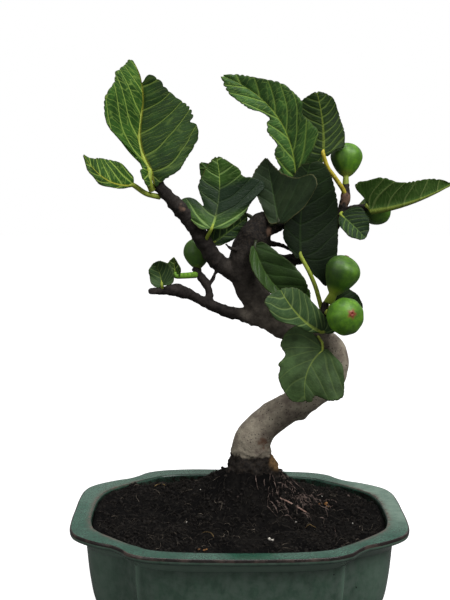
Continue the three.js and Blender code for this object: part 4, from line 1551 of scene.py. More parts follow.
    def dress(
        self, piece: Piece, points: Array, share: Array, near_trunk: Array
    ) -> None:
        """Marks old, worn, dark, rusty and scarred places of the bark.

        Dark is earth on the foot and painted shade on the top of the trunk.

        Args:
            piece: The finished wood.
            points: Its points before the relief, in millimetres.
            share: Share of the trunk's length at each point.
            near_trunk: 1 on the trunk and 0 on the limbs.
        """
        old = smooth_step(self.old_end + self.old_blend, self.old_end - self.old_blend, share)
        scarred = (self.near_knobs(points) * np.array(self.knobs)[:, 5]).max(axis=1)
        from_root = np.linalg.norm(points - self.rusty_place, axis=1)
        ragged = points[:, 2] + 1.5 * lattice_noise(points, 5.0, 27) + 0.8 * lattice_noise(points, 1.8, 28)
        foot = smooth_step(self.graft_height - 1, self.graft_height - 4, ragged)
        foot = np.maximum(foot, 0.3 * smooth_step(self.graft_height + 14, self.graft_height, ragged))
        mark(
            piece,
            old=old * near_trunk,
            worn=near_trunk * (0.8 - 0.68 * smooth_step(0.7, 0.86, share)),
            # Earth on the foot, and painted shade on the top of the trunk, which lies under the leaves.
            dark=np.maximum(foot, smooth_step(0.87, 0.95, share) * near_trunk),
            rusty=smooth_step(self.rusty_radius * 1.3, self.rusty_radius * 0.6, from_root),
            scar=smooth_step(0.45, 0.9, scarred + 0.45 * lattice_noise(points, 2.4, 26)),
        )


def evenly_spaced(run: Array, count: int) -> Array:
    """Takes points evenly spaced along a run.

    Args:
        run: Rows whose first three columns are places.
        count: Stretches to cut the run into.

    Returns:
        One row more than stretches.
    """
    reach = reach_along(run[:, :3])
    target = np.linspace(0, reach[-1], count + 1)
    return np.stack([np.interp(target, reach, run[:, k]) for k in range(run.shape[1])], axis=1)


class LeafLook(Enum):
    """Leaf finishes, from light to shade.

    They are lit and shaded copies of one leaf material, so their brightness is partly painted light: the
    lightest are painted sunlight, and the darkest are painted shade for leaves in the shadow of others.
    """

    SUNLIT = FigBlade(
        "sunlit", "#27421a", "#3d6226", "#486c2c", "#8fab4e", "#9c9f3a", shade="#101a0c", specular=0.07
    )
    LIT = FigBlade("lit", "#345027", "#4c7535", "#486c2c", "#82a04a", "#8ba543", vein_show=0.75)
    VEINED = FigBlade(
        "veined", "#243a1a", "#335020", "#3f6328", "#7d9848", "#92a740", shade="#10190c", vein_show=0.75,
        rung_show=0.35, specular=0.07,
    )
    MATT = FigBlade(
        "matt", "#32492a", "#3e5731", "#45692c", "#869c5c", "#93a548", vein_show=0.4, rung_show=0.12,
        roughness=0.6,
    )
    OLIVE = FigBlade(
        "olive", "#273a19", "#364d24", "#48692c", "#8aa05c", "#97a84a", vein_show=0.65, rung_show=0.3,
        roughness=0.55, specular=0.07,
    )
    SOFT = FigBlade(
        "soft", "#2e411f", "#465f35", "#45692c", "#7d9350", "#93a548", vein_show=0.17, rung_show=0.06,
        roughness=0.6,
    )
    MIDDLE = FigBlade(
        "middle", "#1f3619", "#294721", "#45692c", "#6c8a42", "#6c8a3c", vein_show=0.6, rung_show=0.25
    )
    GLOSSY = FigBlade(
        "glossy", "#1a2b17", "#26401f", "#3f602a", "#5d7b3e", "#67803a", vein_show=0.5, rung_show=0.2,
        roughness=0.42, specular=0.2,
    )
    SMOOTH = FigBlade(
        "smooth", "#2e4220", "#3b5428", "#3f602a", "#4d7034", "#55722f", vein_show=0.2, rung_show=0.05,
        roughness=0.42,
    )
    # Painted shade: a darkened copy for leaves that hang in the shadow of the leaves above.
    DEEP_SHADE = FigBlade(
        "deep", "#162112", "#1f2d17", "#2c4520", "#2b3f1d", "#344a22", vein_show=0.4, rung_show=0.2,
        roughness=0.55, specular=0.06,
    )
    LOBED = FigBlade(
        "lobed", "#2a4419", "#3b5a24", "#3f602a", "#7d9a55", "#86a04a", shade="#1c2b1d", margin="#4f4424",
        vein_show=0.75, rung_show=0.3, roughness=0.42, specular=0.12,
    )
    # Painted shade: a dimmed copy for the middle leaf, which lies in shade.
    DUSKY = FigBlade(
        "dusky", "#1c2917", "#2b3822", "#33472a", "#31452a", "#3d522c", margin="#66603f", vein_show=0.3,
        rung_show=0.1, specular=0.1,
    )


class StalkLook(Enum):
    """Leaf stalk finishes."""

    GREEN = LeafStalk("leaf_stalk_green", "#7c8c2e", "#9fae42")
    YELLOW = LeafStalk("leaf_stalk_yellow", "#a39326", "#c8ba42")
    FRESH = LeafStalk("leaf_stalk_fresh", "#557f25", "#7dac38")
    # Painted shade: a darkened copy of the stalk skin for stalks in the leaves' shadow.
    SHADED = LeafStalk("leaf_stalk_shaded", "#23271a", "#343a20")


@dataclass(frozen=True)
class Leaf:
    """One fig leaf, blade and stalk, in millimetres.

    In its methods a side is 1 for the left half and -1 for the right one. Pairs are left, then right.

    Attributes:
        node: CAD node that the leaf stands for.
        look: Finish of the blade.
        base: Where stalk and blade meet.
        tip: End of the midrib.
        face: The way the upper side looks.
        fold: Degrees by which the left and right halves bend up about the midrib.
        bow: Sideways curve of the midrib.
        arch: Rise of the midrib's middle.
        cup: Droop of the margins.
        shaded: How dark the left and right halves are.
        left: Margin from stalk to tip as places along the midrib and out from it.
        right: The right half's margin.
        stalk: Points of the stalk from the blade to the wood.
        rake: How far the side veins of the left and right halves lean towards the tip.
        sweep: How much they curve towards it.
        bend: How far the midrib swings to the left low down and to the right higher up.
        shade_band: Where the shade lies, as shares of the midrib, between lines that slant with the veins.
        vein_gap: Way between side veins as a share of the midrib.
        stalk_look: Finish of the stalk.
        raised_rib: Places along the midrib, farthest first, over which the stalk runs on as a raised rib.
        start_blend: How far a row's start on the midrib follows the veins, and how far it is even.
        column_crowding: Powers that crowd the grid's columns towards the midrib, out and along.
        wander_cell: Size of the waves by which the veins stray.
        probe: Step by which the way between veins is measured.
        full_quilt: Way between veins from which the sheet bulges fully.
    """

    node: str
    look: LeafLook
    base: Point
    tip: Point
    face: Point
    fold: Pair
    left: tuple[Pair, ...]
    right: tuple[Pair, ...]
    stalk: tuple[Point, ...]
    bow: float = 0.0
    arch: float = 2.0
    cup: float = 2.0
    shaded: Pair = (0.0, 0.0)
    thickness: float = 0.7
    ripple: float = 1.2
    ripple_waves: float = 3.0
    ripple_start: float = 8.0
    cup_span: float = 30.0
    row_rake: float = 0.75
    last_vein: float = 0.97
    rake: Pair = (0.8, 0.8)
    sweep: float = 0.35
    vein_gap: float = 0.19
    fan: float = 24.0
    rung_lean: float = 0.3
    rib_size: float = 1.0
    bend: float = 0.0
    shade_band: Pair = (-2.0, 3.0)
    vein_wander: float = 1.6
    stalk_look: StalkLook = StalkLook.GREEN
    stalk_radius: float = 1.5
    raised_rib: Row = ()
    rib_taper: float = 0.55
    tooth: float = 1.05
    tooth_pitch: float = 5.2
    quilt: float = 0.6
    start_blend: Pair = (0.94, 0.06)
    column_crowding: Pair = (1.2, 1.18)
    wander_cell: float = 13.0
    probe: float = 0.05
    full_quilt: float = 9.0

    @property
    def reach(self) -> float:
        """Straight way from base to tip."""
        return float(np.linalg.norm(np.subtract(self.tip, self.base)))

    def axes(self) -> Array:
        """The blade's own directions.

        Returns:
            Rows along the midrib, out to the left half, and out of the upper side.
        """
        along = unit(np.subtract(self.tip, self.base).astype(float))
        face = np.array(self.face, dtype=float)
        face = unit(face - along * (face @ along))
        return np.stack([along, np.cross(face, along), face])

    def surface(self, u: Array, w: Array, side: int) -> Array:
        """Middle surface of one half.

        A point is the base, plus u along the midrib, plus bow, bend and w cos(fold) to the side, plus
        arch, w sin(fold) and the cup's droop along the face; bow and arch follow the hump 4t(1 - t), bend
        the sine of a whole turn.

        Args:
            u: Way along the midrib.
            w: Way out from it.
            side: Which half.

        Returns:
            Places in millimetres.
        """
        along, left, face = self.axes()
        share = np.clip(u / self.reach, 0, 1)[..., None]
        hump = 4 * share * (1 - share)
        fold = np.radians(self.fold[0 if side > 0 else 1])
        out = w[..., None]
        droop = self.cup * (out / self.cup_span) ** 2
        across = self.bow * hump + self.bend * np.sin(2 * np.pi * share) + side * out * np.cos(fold)
        rise = self.arch * hump + out * np.sin(fold) - droop
        return np.array(self.base) + u[..., None] * along + across * left + rise * face

    def margin(self, side: int) -> dict[str, Array]:
        """One half's margin, with the place on the midrib from which each of its points is reached.

        Args:
            side: Which half.

        Returns:
            Arrays: "s" share of the margin's length, "u" and "w" of the margin, "start" on the midrib,
            "progress" from 0 to 1, and the margin's "length".
        """
        points = [(0, 0), *(self.left if side > 0 else self.right), (self.reach, 0)]
        run = smooth_run(points, 24)
        reach = reach_along(run)
        s = reach / reach[-1]
        raked = np.clip(run[:, 0] - self.row_rake * run[:, 1], 0, self.last_vein * self.reach)
        start = np.maximum.accumulate(raked)
        progress = 0.5 * start / start[-1] + 0.5 * s
        return {
            "s": s, "u": run[:, 0], "w": run[:, 1], "start": start, "progress": progress,
            "length": reach[-1:],
        }

    def vein_way(self, u: Array, w: Array, side: int) -> tuple[Array, Array]:
        """Coordinates across the side veins and across their cross veins, in millimetres.

        With b = u - sweep w^2 / widest, the first is b - rake w where that is above 0, so a vein leaves the
        midrib at a slant and curves towards the tip. Below 0 it is minus fan times the angle from the
        slant through the base, so the lowest veins spread from the stalk like fingers.

        Args:
            u: Way along the midrib.
            w: Way out from it.
            side: Which half.

        Returns:
            The coordinate that is constant along a vein, and the one that is constant along a cross vein.
        """
        rake = self.rake[0 if side > 0 else 1]
        widest = max(row[1] for row in (self.left if side > 0 else self.right))
        bent = u - self.sweep * w**2 / widest
        across = bent - rake * w
        angle = np.maximum(np.arctan2(w, bent) - np.arctan2(1.0, rake), 0)
        return np.where(across > 0, across, -self.fan * angle), u - self.rung_lean * w

    def vein_places(self, side: int) -> Array:
        """Where the side veins are on the first coordinate of vein_way.

        Args:
            side: Which half.

        Returns:
            The base, each lobe's tip and even steps between them, carried on past both ends.
        """
        edge = self.margin(side)
        reach_out = np.hypot(edge["u"] - edge["start"], edge["w"])
        inner = reach_out[1:-1]
        peak = (inner > reach_out[:-2]) & (inner >= reach_out[2:]) & (inner > 0.5 * reach_out.max())
        tips, _ = self.vein_way(edge["u"][1:-1][peak], edge["w"][1:-1][peak], side)
        gap = float(np.clip(self.vein_gap * self.reach, 5.0, 24.0))
        knots = np.sort([0.0, *tips])
        knots = knots[np.concatenate([[True], np.diff(knots) > 0.6 * gap])]
        steps = np.maximum(np.round(np.diff(knots) / gap), 1).astype(int)
        spans = zip(knots[:-1], knots[1:], steps)
        filled = [np.linspace(low, high, step, endpoint=False) for low, high, step in spans]
        before = knots[0] - gap * np.arange(6, 0, -1)
        return np.concatenate([before, *filled, knots[-1] + gap * np.arange(16)])

    def teeth(self, s: Array, w: Array, length: float, size: float) -> Array:
        """Uneven scallops of the margin: a rectified sine whose pace and depth wander along it.

        Args:
            s: Share of the margin's length.
            w: Way out from the midrib.
            length: Margin's length.
            size: Scale of the leaf, up to 1.

        Returns:
            Millimetres by which the margin stands out.
        """
        wander = 1.3 * np.sin(17 * s + w[len(w) // 2]) + 0.8 * np.sin(41 * s + self.reach)
        wave = np.abs(np.sin(np.pi * s * length / (self.tooth_pitch * size) + wander))
        depth = 0.65 + 0.35 * np.sin(29 * s + 0.7 * self.reach)
        return self.tooth * size * depth * (wave**0.6 - 0.45) * smooth_step(0.5, 5.0, w)

    def half(self, side: int, rows: int, columns: int) -> dict[str, Array]:
        """Grid of one half: rows run at a slant from the midrib to the toothed margin.

        Args:
            side: Which half.
            rows: Steps along the margin.
            columns: Steps out from the midrib.

        Returns:
            Arrays of one value per grid point: the place and everything that the finish reads.
        """
        edges = {k: self.margin(k) for k in (1, -1)}
        progress = np.linspace(0, 1, rows + 1)
        shares = {k: np.interp(progress, e["progress"], e["s"]) for k, e in edges.items()}
        starts = [np.interp(shares[k], e["s"], e["start"]) for k, e in edges.items()]
        follow, even = self.start_blend
        start = 0.5 * (starts[0] + starts[1]) * follow + even * self.reach * progress
        edge, s = edges[side], shares[side]
        u, w = np.interp(s, edge["s"], edge["u"]), np.interp(s, edge["s"], edge["w"])
        reach_out = np.hypot(u - start, w)
        size = min(1.0, 0.35 + self.reach / 100)
        stretch = 1 + self.teeth(s, w, edge["length"][0], size) / np.maximum(reach_out, 1.0)
        out = (np.arange(columns + 1) / columns) ** self.column_crowding[0]
        row_u = start[:, None] + ((u - start) * stretch)[:, None] * out ** self.column_crowding[1]
        row_w = (w * stretch)[:, None] * out
        places = self.vein_places(side)
        numbers = np.arange(len(places))
        way, rung_way = self.vein_way(row_u, row_w, side)
        flat = np.stack([row_u, row_w + 50.0 * side, np.full_like(row_u, self.reach)], axis=-1)
        wander = lattice_noise(flat.reshape(-1, 3), self.wander_cell, 31).reshape(row_u.shape)
        wander = self.vein_wander * wander * np.minimum(1, row_w / 8.0)
        count = np.interp(way + wander, places, numbers)
        beyond = self.vein_way(row_u + self.probe, row_w, side)[0]
        outward = self.vein_way(row_u, row_w + self.probe, side)[0]
        by_u, by_w = (np.interp(ahead + wander, places, numbers) - count for ahead in (beyond, outward))
        pitch = self.probe / np.maximum(np.hypot(by_u, by_w), 1e-5)
        ripple = self.ripple * out**2 * np.sin(s * self.ripple_waves * 2 * np.pi + side)[:, None]
        ripple = ripple * np.minimum(1, w / self.ripple_start)[:, None]
        place = self.surface(row_u, row_w, side) + ripple[..., None] * self.axes()[2]
        off_vein = np.abs((count + 0.5) % 1 - 0.5)
        dome = np.sin(np.pi * off_vein) ** 0.8
        fade = np.clip(pitch / self.full_quilt, 0, 1) * (1 - out**5) * np.minimum(1, row_w / 3.0)
        slant = (row_u - 0.4 * row_w) / self.reach
        low, high = self.shade_band
        banded = smooth_step(low - 0.08, low + 0.08, slant) * smooth_step(high + 0.08, high - 0.08, slant)
        main_vein = 1 + 0.45 * bell(way, 4.0)
        near_base = np.minimum(1, np.hypot(row_u, row_w) / 8.0)
        left_over = 1 - np.clip(row_u / self.reach, 0, 1)
        return {
            "place": place,
            "vein_count": count,
            "vein_pitch": pitch,
            "vein_width": (1.15 * (1 - 0.6 * out) * main_vein + 0.15) * size * near_base + 0.02,
            "rung_way": rung_way,
            "midrib_gap": row_w,
            "midrib_width": (1.5 * left_over**1.3 + 0.45) * size * self.rib_size,
            "margin_gap": (1 - out) * reach_out[:, None],
            "shaded": banded * self.shaded[0 if side > 0 else 1],
            "dome": self.quilt * size * dome * fade,
        }

    def blade(self) -> Shell:
        """Closed blade: both halves share the midrib, and the two faces join round the margin.

        Between veins the sheet bulges up; below, the midrib and veins stand out as ribs.

        Returns:
            The closed blade.
        """
        rows = int(np.clip(max(self.margin(side)["length"][0] for side in (1, -1)), 60, 180))
        columns = int(np.clip(max(w for _, w in (*self.left, *self.right)) / 1.4, 12, 30))
        halves = [self.half(side, rows, columns) for side in (1, -1)]
        names = [name for name in halves[0] if name not in ("place", "dome")]
        grid = (rows + 1) * (columns + 1)
        number = np.arange(2 * grid).reshape(2, rows + 1, columns + 1)
        weld = number.copy()
        weld[1, :, 0] = weld[0, :, 0]
        weld[:, 0, :] = weld[0, 0, 0]
        weld[:, rows, :] = weld[0, rows, 0]
        weld = weld.ravel()
        quads = grid_quads(rows + 1, columns + 1)
        plain = np.concatenate([quads[:, ::-1], quads + grid])
        welded_groups, plain_groups = part_faces(weld[plain], plain)
        points = np.concatenate([half["place"].reshape(-1, 3) for half in halves])[weld]
        normals = self.sheet_normals(points, welded_groups, weld)
        values = {name: np.concatenate([half[name].ravel() for half in halves]) for name in names}
        dome = np.concatenate([half["dome"].ravel() for half in halves])[weld]
        middle = points + normals * dome[:, None]
        off_vein = np.abs((values["vein_count"] + 0.5) % 1 - 0.5) * values["vein_pitch"]
        vein = 0.4 * values["vein_width"] * bell(off_vein, values["vein_width"])
        rib = 0.8 * values["midrib_width"] * bell(values["midrib_gap"], values["midrib_width"])
        ridge = np.maximum(vein, rib)[weld] * np.minimum(1, values["margin_gap"])[weld]
        upper = middle + normals * (self.thickness / 2)
        lower = middle - normals * (self.thickness / 2 + ridge)[:, None]
        return self.close_blade(upper, lower, values, (welded_groups, plain_groups), (number, weld))

    def sheet_normals(self, points: Array, groups: Sequence[Array], weld: Array) -> Array:
        """Direction out of the sheet at each point: the sum of its faces' normals, by area.

        Args:
            points: Places in millimetres.
            groups: Face groups by welded numbers.
            weld: Number of the point that each point is welded to.

        Returns:
            One direction for each point.
        """
        normals = np.zeros_like(points)
        for group in groups:
            first, second, third, last = (points[group[:, k]] for k in (0, 1, 2, -1))
            if group.shape[1] == 4:
                flat = np.cross(third - first, last - second)
            else:
                flat = np.cross(second - first, third - first)
            for corner in range(group.shape[1]):
                np.add.at(normals, group[:, corner], flat)
        return unit(normals)[weld]

    def close_blade(
        self, upper: Array, lower: Array, values: dict[str, Array],
        faces: tuple[list[Array], list[Array]], numbers: tuple[Array, Array],
    ) -> Shell:
        """Joins the upper and lower sheets by a rim along the margin.

        Args:
            upper: Points of the upper sheet.
            lower: Points of the lower sheet.
            values: Named values of one sheet.
            faces: The sheet's face groups by welded and by plain numbers.
            numbers: Grid numbers of both halves, and the weld.

        Returns:
            The closed shell.
        """
        number, weld = numbers
        count = len(upper)
        margin = [number[0, :, -1], number[1, ::-1, -1]]
        rims = [np.stack([m[:-1], m[1:], m[1:] + count, m[:-1] + count], axis=1) for m in margin]
        rim = np.concatenate(rims)
        both = np.concatenate([weld, weld + count])
        groups, plain_groups = [both[rim]], [rim]
        for welded, plain in zip(*faces):
            groups += [welded, welded[:, ::-1] + count]
            plain_groups += [plain, plain[:, ::-1] + count]
        used, compact = np.unique(np.concatenate([g.ravel() for g in groups]), return_inverse=True)
        cuts = np.cumsum([g.size for g in groups])[:-1]
        groups = [part.reshape(g.shape) for part, g in zip(np.split(compact, cuts), groups)]
        doubled = {name: np.concatenate([value, value]) for name, value in values.items()}
        doubled["underside"] = np.repeat([0.0, 1.0], count)
        return Shell(np.concatenate([upper, lower])[used], groups, doubled, plain_groups)

    def stem(self) -> Shell:
        """Stalk: a tube that starts thin under the blade's foot and ends stout in the wood.

        Returns:
            The closed stalk.
        """
        ways = np.array(self.raised_rib or (min(4.0, self.reach / 6),))
        on_rib = [tuple(point) for point in self.surface(ways, np.zeros(len(ways)), 1)]
        corners = [*on_rib, self.base, *self.stalk]
        size = min(1.0, 0.5 + self.reach / 110)
        joints = (0, len(ways), len(corners) - 1)
        swell = np.interp(np.arange(len(corners)), joints, (self.rib_taper, 1.05, 1.25))
        rows = [(*corner, self.stalk_radius * grow * size) for corner, grow in zip(corners, swell)]
        run = smooth_run(rows, 8)
        return replace(swept(run[:, :3], run[:, 3], 14), slot=1)

    def build(self, finishes: dict[LeafLook | StalkLook, Material]) -> None:
        """Makes the leaf as one piece with two finishes."""
        skins = finishes[self.look], finishes[self.stalk_look]
        enlist(build_piece(self.node + "_grown", [self.blade(), self.stem()], *skins), "leaf", self.node)


LEAVES = (
    Leaf(
        "leaf_upper_left", LeafLook.SUNLIT, base=(-74, 6, 379), tip=(-88, 30, 470), face=(0.25, -1, 0.3),
        fold=(48, 8), bend=4.5, arch=-5, shaded=(0, 0.6), rake=(0.6, 0.1), sweep=0.95, vein_gap=0.21,
        rib_size=2, stalk_radius=2.4, raised_rib=(66, 50, 36, 22, 10, 3), rib_taper=0.2, tooth=2.1,
        tooth_pitch=7, quilt=1.3,
        left=((-14, 3), (-11, 8), (-5, 12), (0, 12.5), (2, 8), (9, 9), (18, 17), (27, 32), (37, 45.5),
              (53, 52), (61, 49), (70, 40), (79, 34.5), (88, 18), (94, 7)),
        right=((-13, 3), (-9, 9), (-5, 17), (-1, 25), (14, 41), (23, 49), (31, 51), (37, 49), (40.5, 43.5),
               (45, 45), (54, 39.5), (63, 28), (71, 19), (79, 14), (82, 8), (80, 4), (75, 1), (84, 1.2)),
        stalk=((-74.5, 3, 372), (-72, 8, 364)),
    ),
    Leaf(
        "leaf_small_left", LeafLook.SUNLIT, base=(-87, 4, 368), tip=(-126, -14, 394), face=(-0.1, -1, 0.9),
        fold=(12, 15), bow=12, cup=3, shaded=(0.35, 0), rake=(0.8, 0.9), sweep=0.9, vein_gap=0.2,
        stalk_radius=2, quilt=0.9,
        left=((4, 2), (12, 4), (23, 6.5), (32, 8.5), (40, 8), (45, 4)),
        right=((2, 5), (6, 11), (12, 17), (21, 19), (33, 15), (41, 6)),
        stalk=((-77, 8, 361), (-66, 14, 358)),
    ),
    Leaf(
        "leaf_three_lobed", LeafLook.LOBED, base=(-23, 9, 332), tip=(-19, 20, 392), face=(0.1, -1, 0.35),
        fold=(6, 6), bow=-5, arch=-6, cup=4, shaded=(0.8, 0.95), shade_band=(0.16, 0.6), rake=(0.35, 0.35),
        sweep=0.7, rib_size=0.8, stalk_radius=1.3,
        left=((-1, 9), (8, 22), (15, 31), (21, 33), (25, 27), (24, 20), (19, 12), (34, 18), (47, 13),
              (54, 8)),
        right=((1, 11), (9, 19), (17, 24), (26, 28), (41, 39), (46, 31), (46, 20), (52, 17), (59, 6)),
        stalk=((-26, 13, 326), (-30, 22, 318)),
    ),
    Leaf(
        "leaf_shaded_left", LeafLook.MIDDLE, base=(-23, 36, 317), tip=(8, 54, 339), face=(-0.2, -1, -0.2),
        fold=(5, 5), shaded=(0.25, 0.25),
        left=((3, 12), (20, 16), (36, 9)),
        right=((4, 5), (20, 8), (34, 6)),
        stalk=((-25, 31, 315), (-26, 24, 314)),
    ),
    Leaf(
        "leaf_dark_centre", LeafLook.DUSKY, base=(33, 15, 337), tip=(23, 34, 391), face=(-0.15, -1, 0.2),
        fold=(5, 30), arch=-3, quilt=0.25, stalk_look=StalkLook.SHADED, stalk_radius=1.2,
        left=((0, 7), (9, 10), (27, 14), (36, 18), (49, 11)),
        right=((-3, 6), (0, 15), (5, 27), (15, 39), (21, 44), (30, 41), (32, 25), (39, 13), (48, 6)),
        stalk=((29, 20, 335), (23, 26, 333)),
    ),
    Leaf(
        "leaf_top", LeafLook.LIT, base=(48, 34, 374), tip=(-16, 8, 457), face=(0.3, -1, -0.2), fold=(8, 14),
        bow=-17, arch=4, cup=-3, shaded=(0, 0.15), rake=(1.7, 1.2), sweep=0.8, vein_gap=0.17, rib_size=0.65,
        quilt=1.1, tooth=1.6,
        left=((-2, 6), (8, 12), (25, 17), (31, 16), (34, 12), (46, 14), (53, 10), (54, 6), (63, 8),
              (73, 13), (89, 13), (98, 8)),
        right=((-3, 6), (6, 10), (11, 18), (20, 26), (32, 22), (41, 18), (51, 23), (70, 21), (79, 17),
               (90, 11), (100, 6)),
        stalk=((50, 38, 363), (45, 38, 349), (36, 33, 337)),
    ),
    Leaf(
        "leaf_top_right", LeafLook.VEINED, base=(72, 42, 393), tip=(67, 58, 447), face=(0.1, -1, 0.25),
        fold=(-14, 6), bow=-3, arch=-3, cup=3, shaded=(0.68, 0.6), rake=(0.4, 0.3), sweep=0.7,
        vein_gap=0.125, fan=7, stalk_look=StalkLook.YELLOW, stalk_radius=1.7,
        left=((-10, 2), (-19, 6), (-20, 16), (-11, 24), (9, 27), (32, 24), (49, 16)),
        right=((-2, 4), (4, 11), (6, 18), (17, 18), (30, 16), (47, 13), (54, 7)),
        stalk=((76, 43, 382), (82, 45, 374), (90, 49, 363), (93, 52, 356)),
    ),
    Leaf(
        "leaf_right", LeafLook.OLIVE, base=(113, 32, 345), tip=(176, 6, 369.5), face=(0.1, 0.3, 1),
        fold=(78, 60), bow=-3, arch=-5, cup=3, shaded=(0.36, 0.3), rake=(0.25, 0.4), sweep=1.1,
        vein_wander=3, vein_gap=0.2, rib_size=1.7, quilt=1, tooth=1.5,
        left=((-4, 8), (-2, 17), (5, 20.5), (20, 22), (38, 18.5), (56, 10.5)),
        right=((-1, 8), (-5, 23), (-3, 31), (10, 30), (20, 28), (31, 22), (45, 16), (62, 9)),
        stalk=((112, 35, 347), (109, 38, 350)),
    ),
    Leaf(
        "leaf_small_right", LeafLook.MIDDLE, base=(88, 41, 341), tip=(108, 28, 322), face=(0.1, -1, 0.3),
        fold=(10, 20), shaded=(0.55, 0.2), rake=(0.5, 0.5), vein_gap=0.15,
        left=((0, 6), (1, 11), (8, 16), (18, 15), (26, 8)),
        right=((1, 4), (7, 9), (14, 11), (22, 10), (28, 6)),
        stalk=((88, 45, 342), (91, 51, 344)),
    ),
    Leaf(
        "leaf_broad_right", LeafLook.DEEP_SHADE, base=(52, 16, 308), tip=(60, 27, 386), face=(0.2, -1, 0.2),
        fold=(6, -2), bow=3, arch=-3, shaded=(0.5, 0.5), shade_band=(-2, 0.62), rake=(0.3, 0.3), sweep=0.6,
        rib_size=0.8, quilt=0.25, stalk_radius=1.6,
        left=((-2, 4), (6, 10), (15, 15), (27, 14), (42, 14), (60, 13), (75, 8)),
        right=((-7, 3), (-12, 9), (-17, 17), (-22, 26), (-3, 32), (21, 34), (44, 33), (57, 28), (73, 19),
               (81, 9)),
        stalk=((59, 15, 295), (65, 16, 281), (71, 17, 260)),
    ),
    Leaf(
        "leaf_folded_centre", LeafLook.SMOOTH, base=(13, 12, 317), tip=(52, 16, 269), face=(0.1, -1, 0.1),
        fold=(22, 38), bow=-8, arch=3, shaded=(0.32, 0), stalk_look=StalkLook.SHADED, stalk_radius=1.2,
        left=((0, 6), (8, 14), (28, 23), (42, 23), (55, 16)),
        right=((-2, 4), (4, 11), (16, 12), (30, 10.5), (44, 9), (54, 7)),
        stalk=((14, 15, 320), (14, 22, 322)),
    ),
    Leaf(
        "leaf_front", LeafLook.MATT, base=(69, 7, 245), tip=(33, -10, 284), face=(-0.2, -1, 0.8),
        fold=(8, 8), bow=6, arch=3, shaded=(0, 0.1), rake=(0.4, 0.4), sweep=0.9, rib_size=1.25,
        stalk_radius=1.3,
        left=((3, 2), (11, 5), (27, 9), (44, 19), (55, 21), (61, 19), (61, 13)),
        right=((-8, 5), (-9, 11), (-1, 13), (13, 15), (31, 18), (44, 14), (51, 7)),
        stalk=((72, 10, 245), (74, 20, 243)),
    ),
    Leaf(
        "leaf_hanging", LeafLook.SOFT, base=(70, 4, 230), tip=(55, -14, 190), face=(-0.15, -1, 0.4),
        fold=(4, 6), bow=-6, arch=4, cup=3, shaded=(0.15, 0.15), rake=(0.7, 0.7), sweep=0.7, vein_gap=0.34,
        rib_size=0.75, stalk_radius=1.05,
        left=((-2, 3), (0, 8), (8, 23), (20, 31), (33, 33), (40, 22), (39, 9.5), (45, 5)),
        right=((-5, 4), (-12, 13), (-14, 28), (-3, 35), (7, 31.5), (14, 23), (23, 25), (27, 22.5), (34, 23),
               (43, 19), (49, 11)),
        stalk=((70, 6, 236), (67, 14, 240)),
    ),
    Leaf(
        "leaf_behind_figs", LeafLook.DEEP_SHADE, base=(81, 24, 267), tip=(107, 32, 261), face=(0.2, -1, 0.2),
        fold=(5, 5), shaded=(0.1, 0.1),
        left=((-2, 5), (1, 10), (8, 15), (17, 12), (25, 6)),
        right=((-1, 4), (6, 8), (15, 10), (23, 6)),
        stalk=((77, 21, 264), (72, 18, 256)),
    ),
    Leaf(
        "leaf_young_left", LeafLook.MATT, base=(-64, -1, 286), tip=(-70, -2, 305), face=(-0.3, -1, 0.1),
        fold=(40, 20), arch=-4, cup=4, shaded=(0, 0.1), stalk_radius=2,
        left=((-1, 4), (2, 8), (9, 10), (16, 7)),
        right=((-1, 8), (1, 12), (8, 14), (15, 12), (20, 7)),
        stalk=((-64, 0, 284), (-63, 2, 281)),
    ),
    Leaf(
        "leaf_young_stalked", LeafLook.OLIVE, base=(-53, 6, 293), tip=(-54, 2, 309), face=(0.2, -1, 0.2),
        fold=(20, 25), arch=-2, stalk_look=StalkLook.FRESH, stalk_radius=3.4,
        left=((-1, 3), (1, 5), (6, 9), (12, 6)),
        right=((-1, 3), (3, 5), (6, 5), (11, 3)),
        stalk=((-46, 14, 292), (-37, 28, 291)),
    ),
    Leaf(
        "leaf_back_upper", LeafLook.MIDDLE, base=(-5, 66, 343), tip=(-35, 92, 386), face=(-0.3, 1, 0.7),
        fold=(10, 10), bow=3, arch=3, cup=4, shaded=(0.5, 0.3), stalk_look=StalkLook.SHADED,
        left=((-8, 5), (-8, 12), (4, 18), (18, 15), (24, 17), (36, 13), (50, 6)),
        right=((-9, 6), (-10, 16), (4, 24), (18, 20), (24, 22), (36, 18), (50, 8)),
        stalk=((10, 62, 339), (17, 54, 331)),
    ),
    Leaf(
        "leaf_back_lower", LeafLook.MIDDLE, base=(43, 62, 284), tip=(60, 84, 240), face=(0.3, 1, 0.4),
        fold=(8, 8), bow=-3, arch=3, cup=4,
        left=((-8, 6), (-9, 15), (3, 21), (15, 18), (21, 20), (32, 15), (44, 7)),
        right=((-6, 4), (-5, 9), (4, 12), (15, 10), (21, 12), (32, 9), (44, 5)),
        stalk=((47, 56, 292), (50, 43, 302)),
    ),
    Leaf(
        "leaf_back_middle", LeafLook.GLOSSY, base=(43, 57, 352), tip=(47, 79, 392), face=(0.1, 1, 0.6),
        fold=(12, 12), bow=2, arch=3, cup=4,
        left=((-7, 5), (-8, 12), (4, 16), (16, 14), (21, 16), (32, 12), (42, 6)),
        right=((-7, 5), (-8, 12), (4, 16), (16, 14), (21, 16), (32, 12), (42, 6)),
        stalk=((39, 51, 344), (31, 35, 333)),
    ),
    Leaf(
        "leaf_back_right", LeafLook.SUNLIT, base=(68, 62, 328), tip=(58, 88, 364), face=(0.4, 1, 0.5),
        fold=(10, 10), bow=2, arch=3, cup=4,
        left=((-7, 5), (-8, 12), (4, 16), (16, 14), (21, 16), (32, 12), (42, 6)),
        right=((-7, 5), (-8, 12), (4, 16), (16, 14), (21, 16), (32, 12), (42, 6)),
        stalk=((70, 57, 322), (76, 47, 318)),
    ),
)


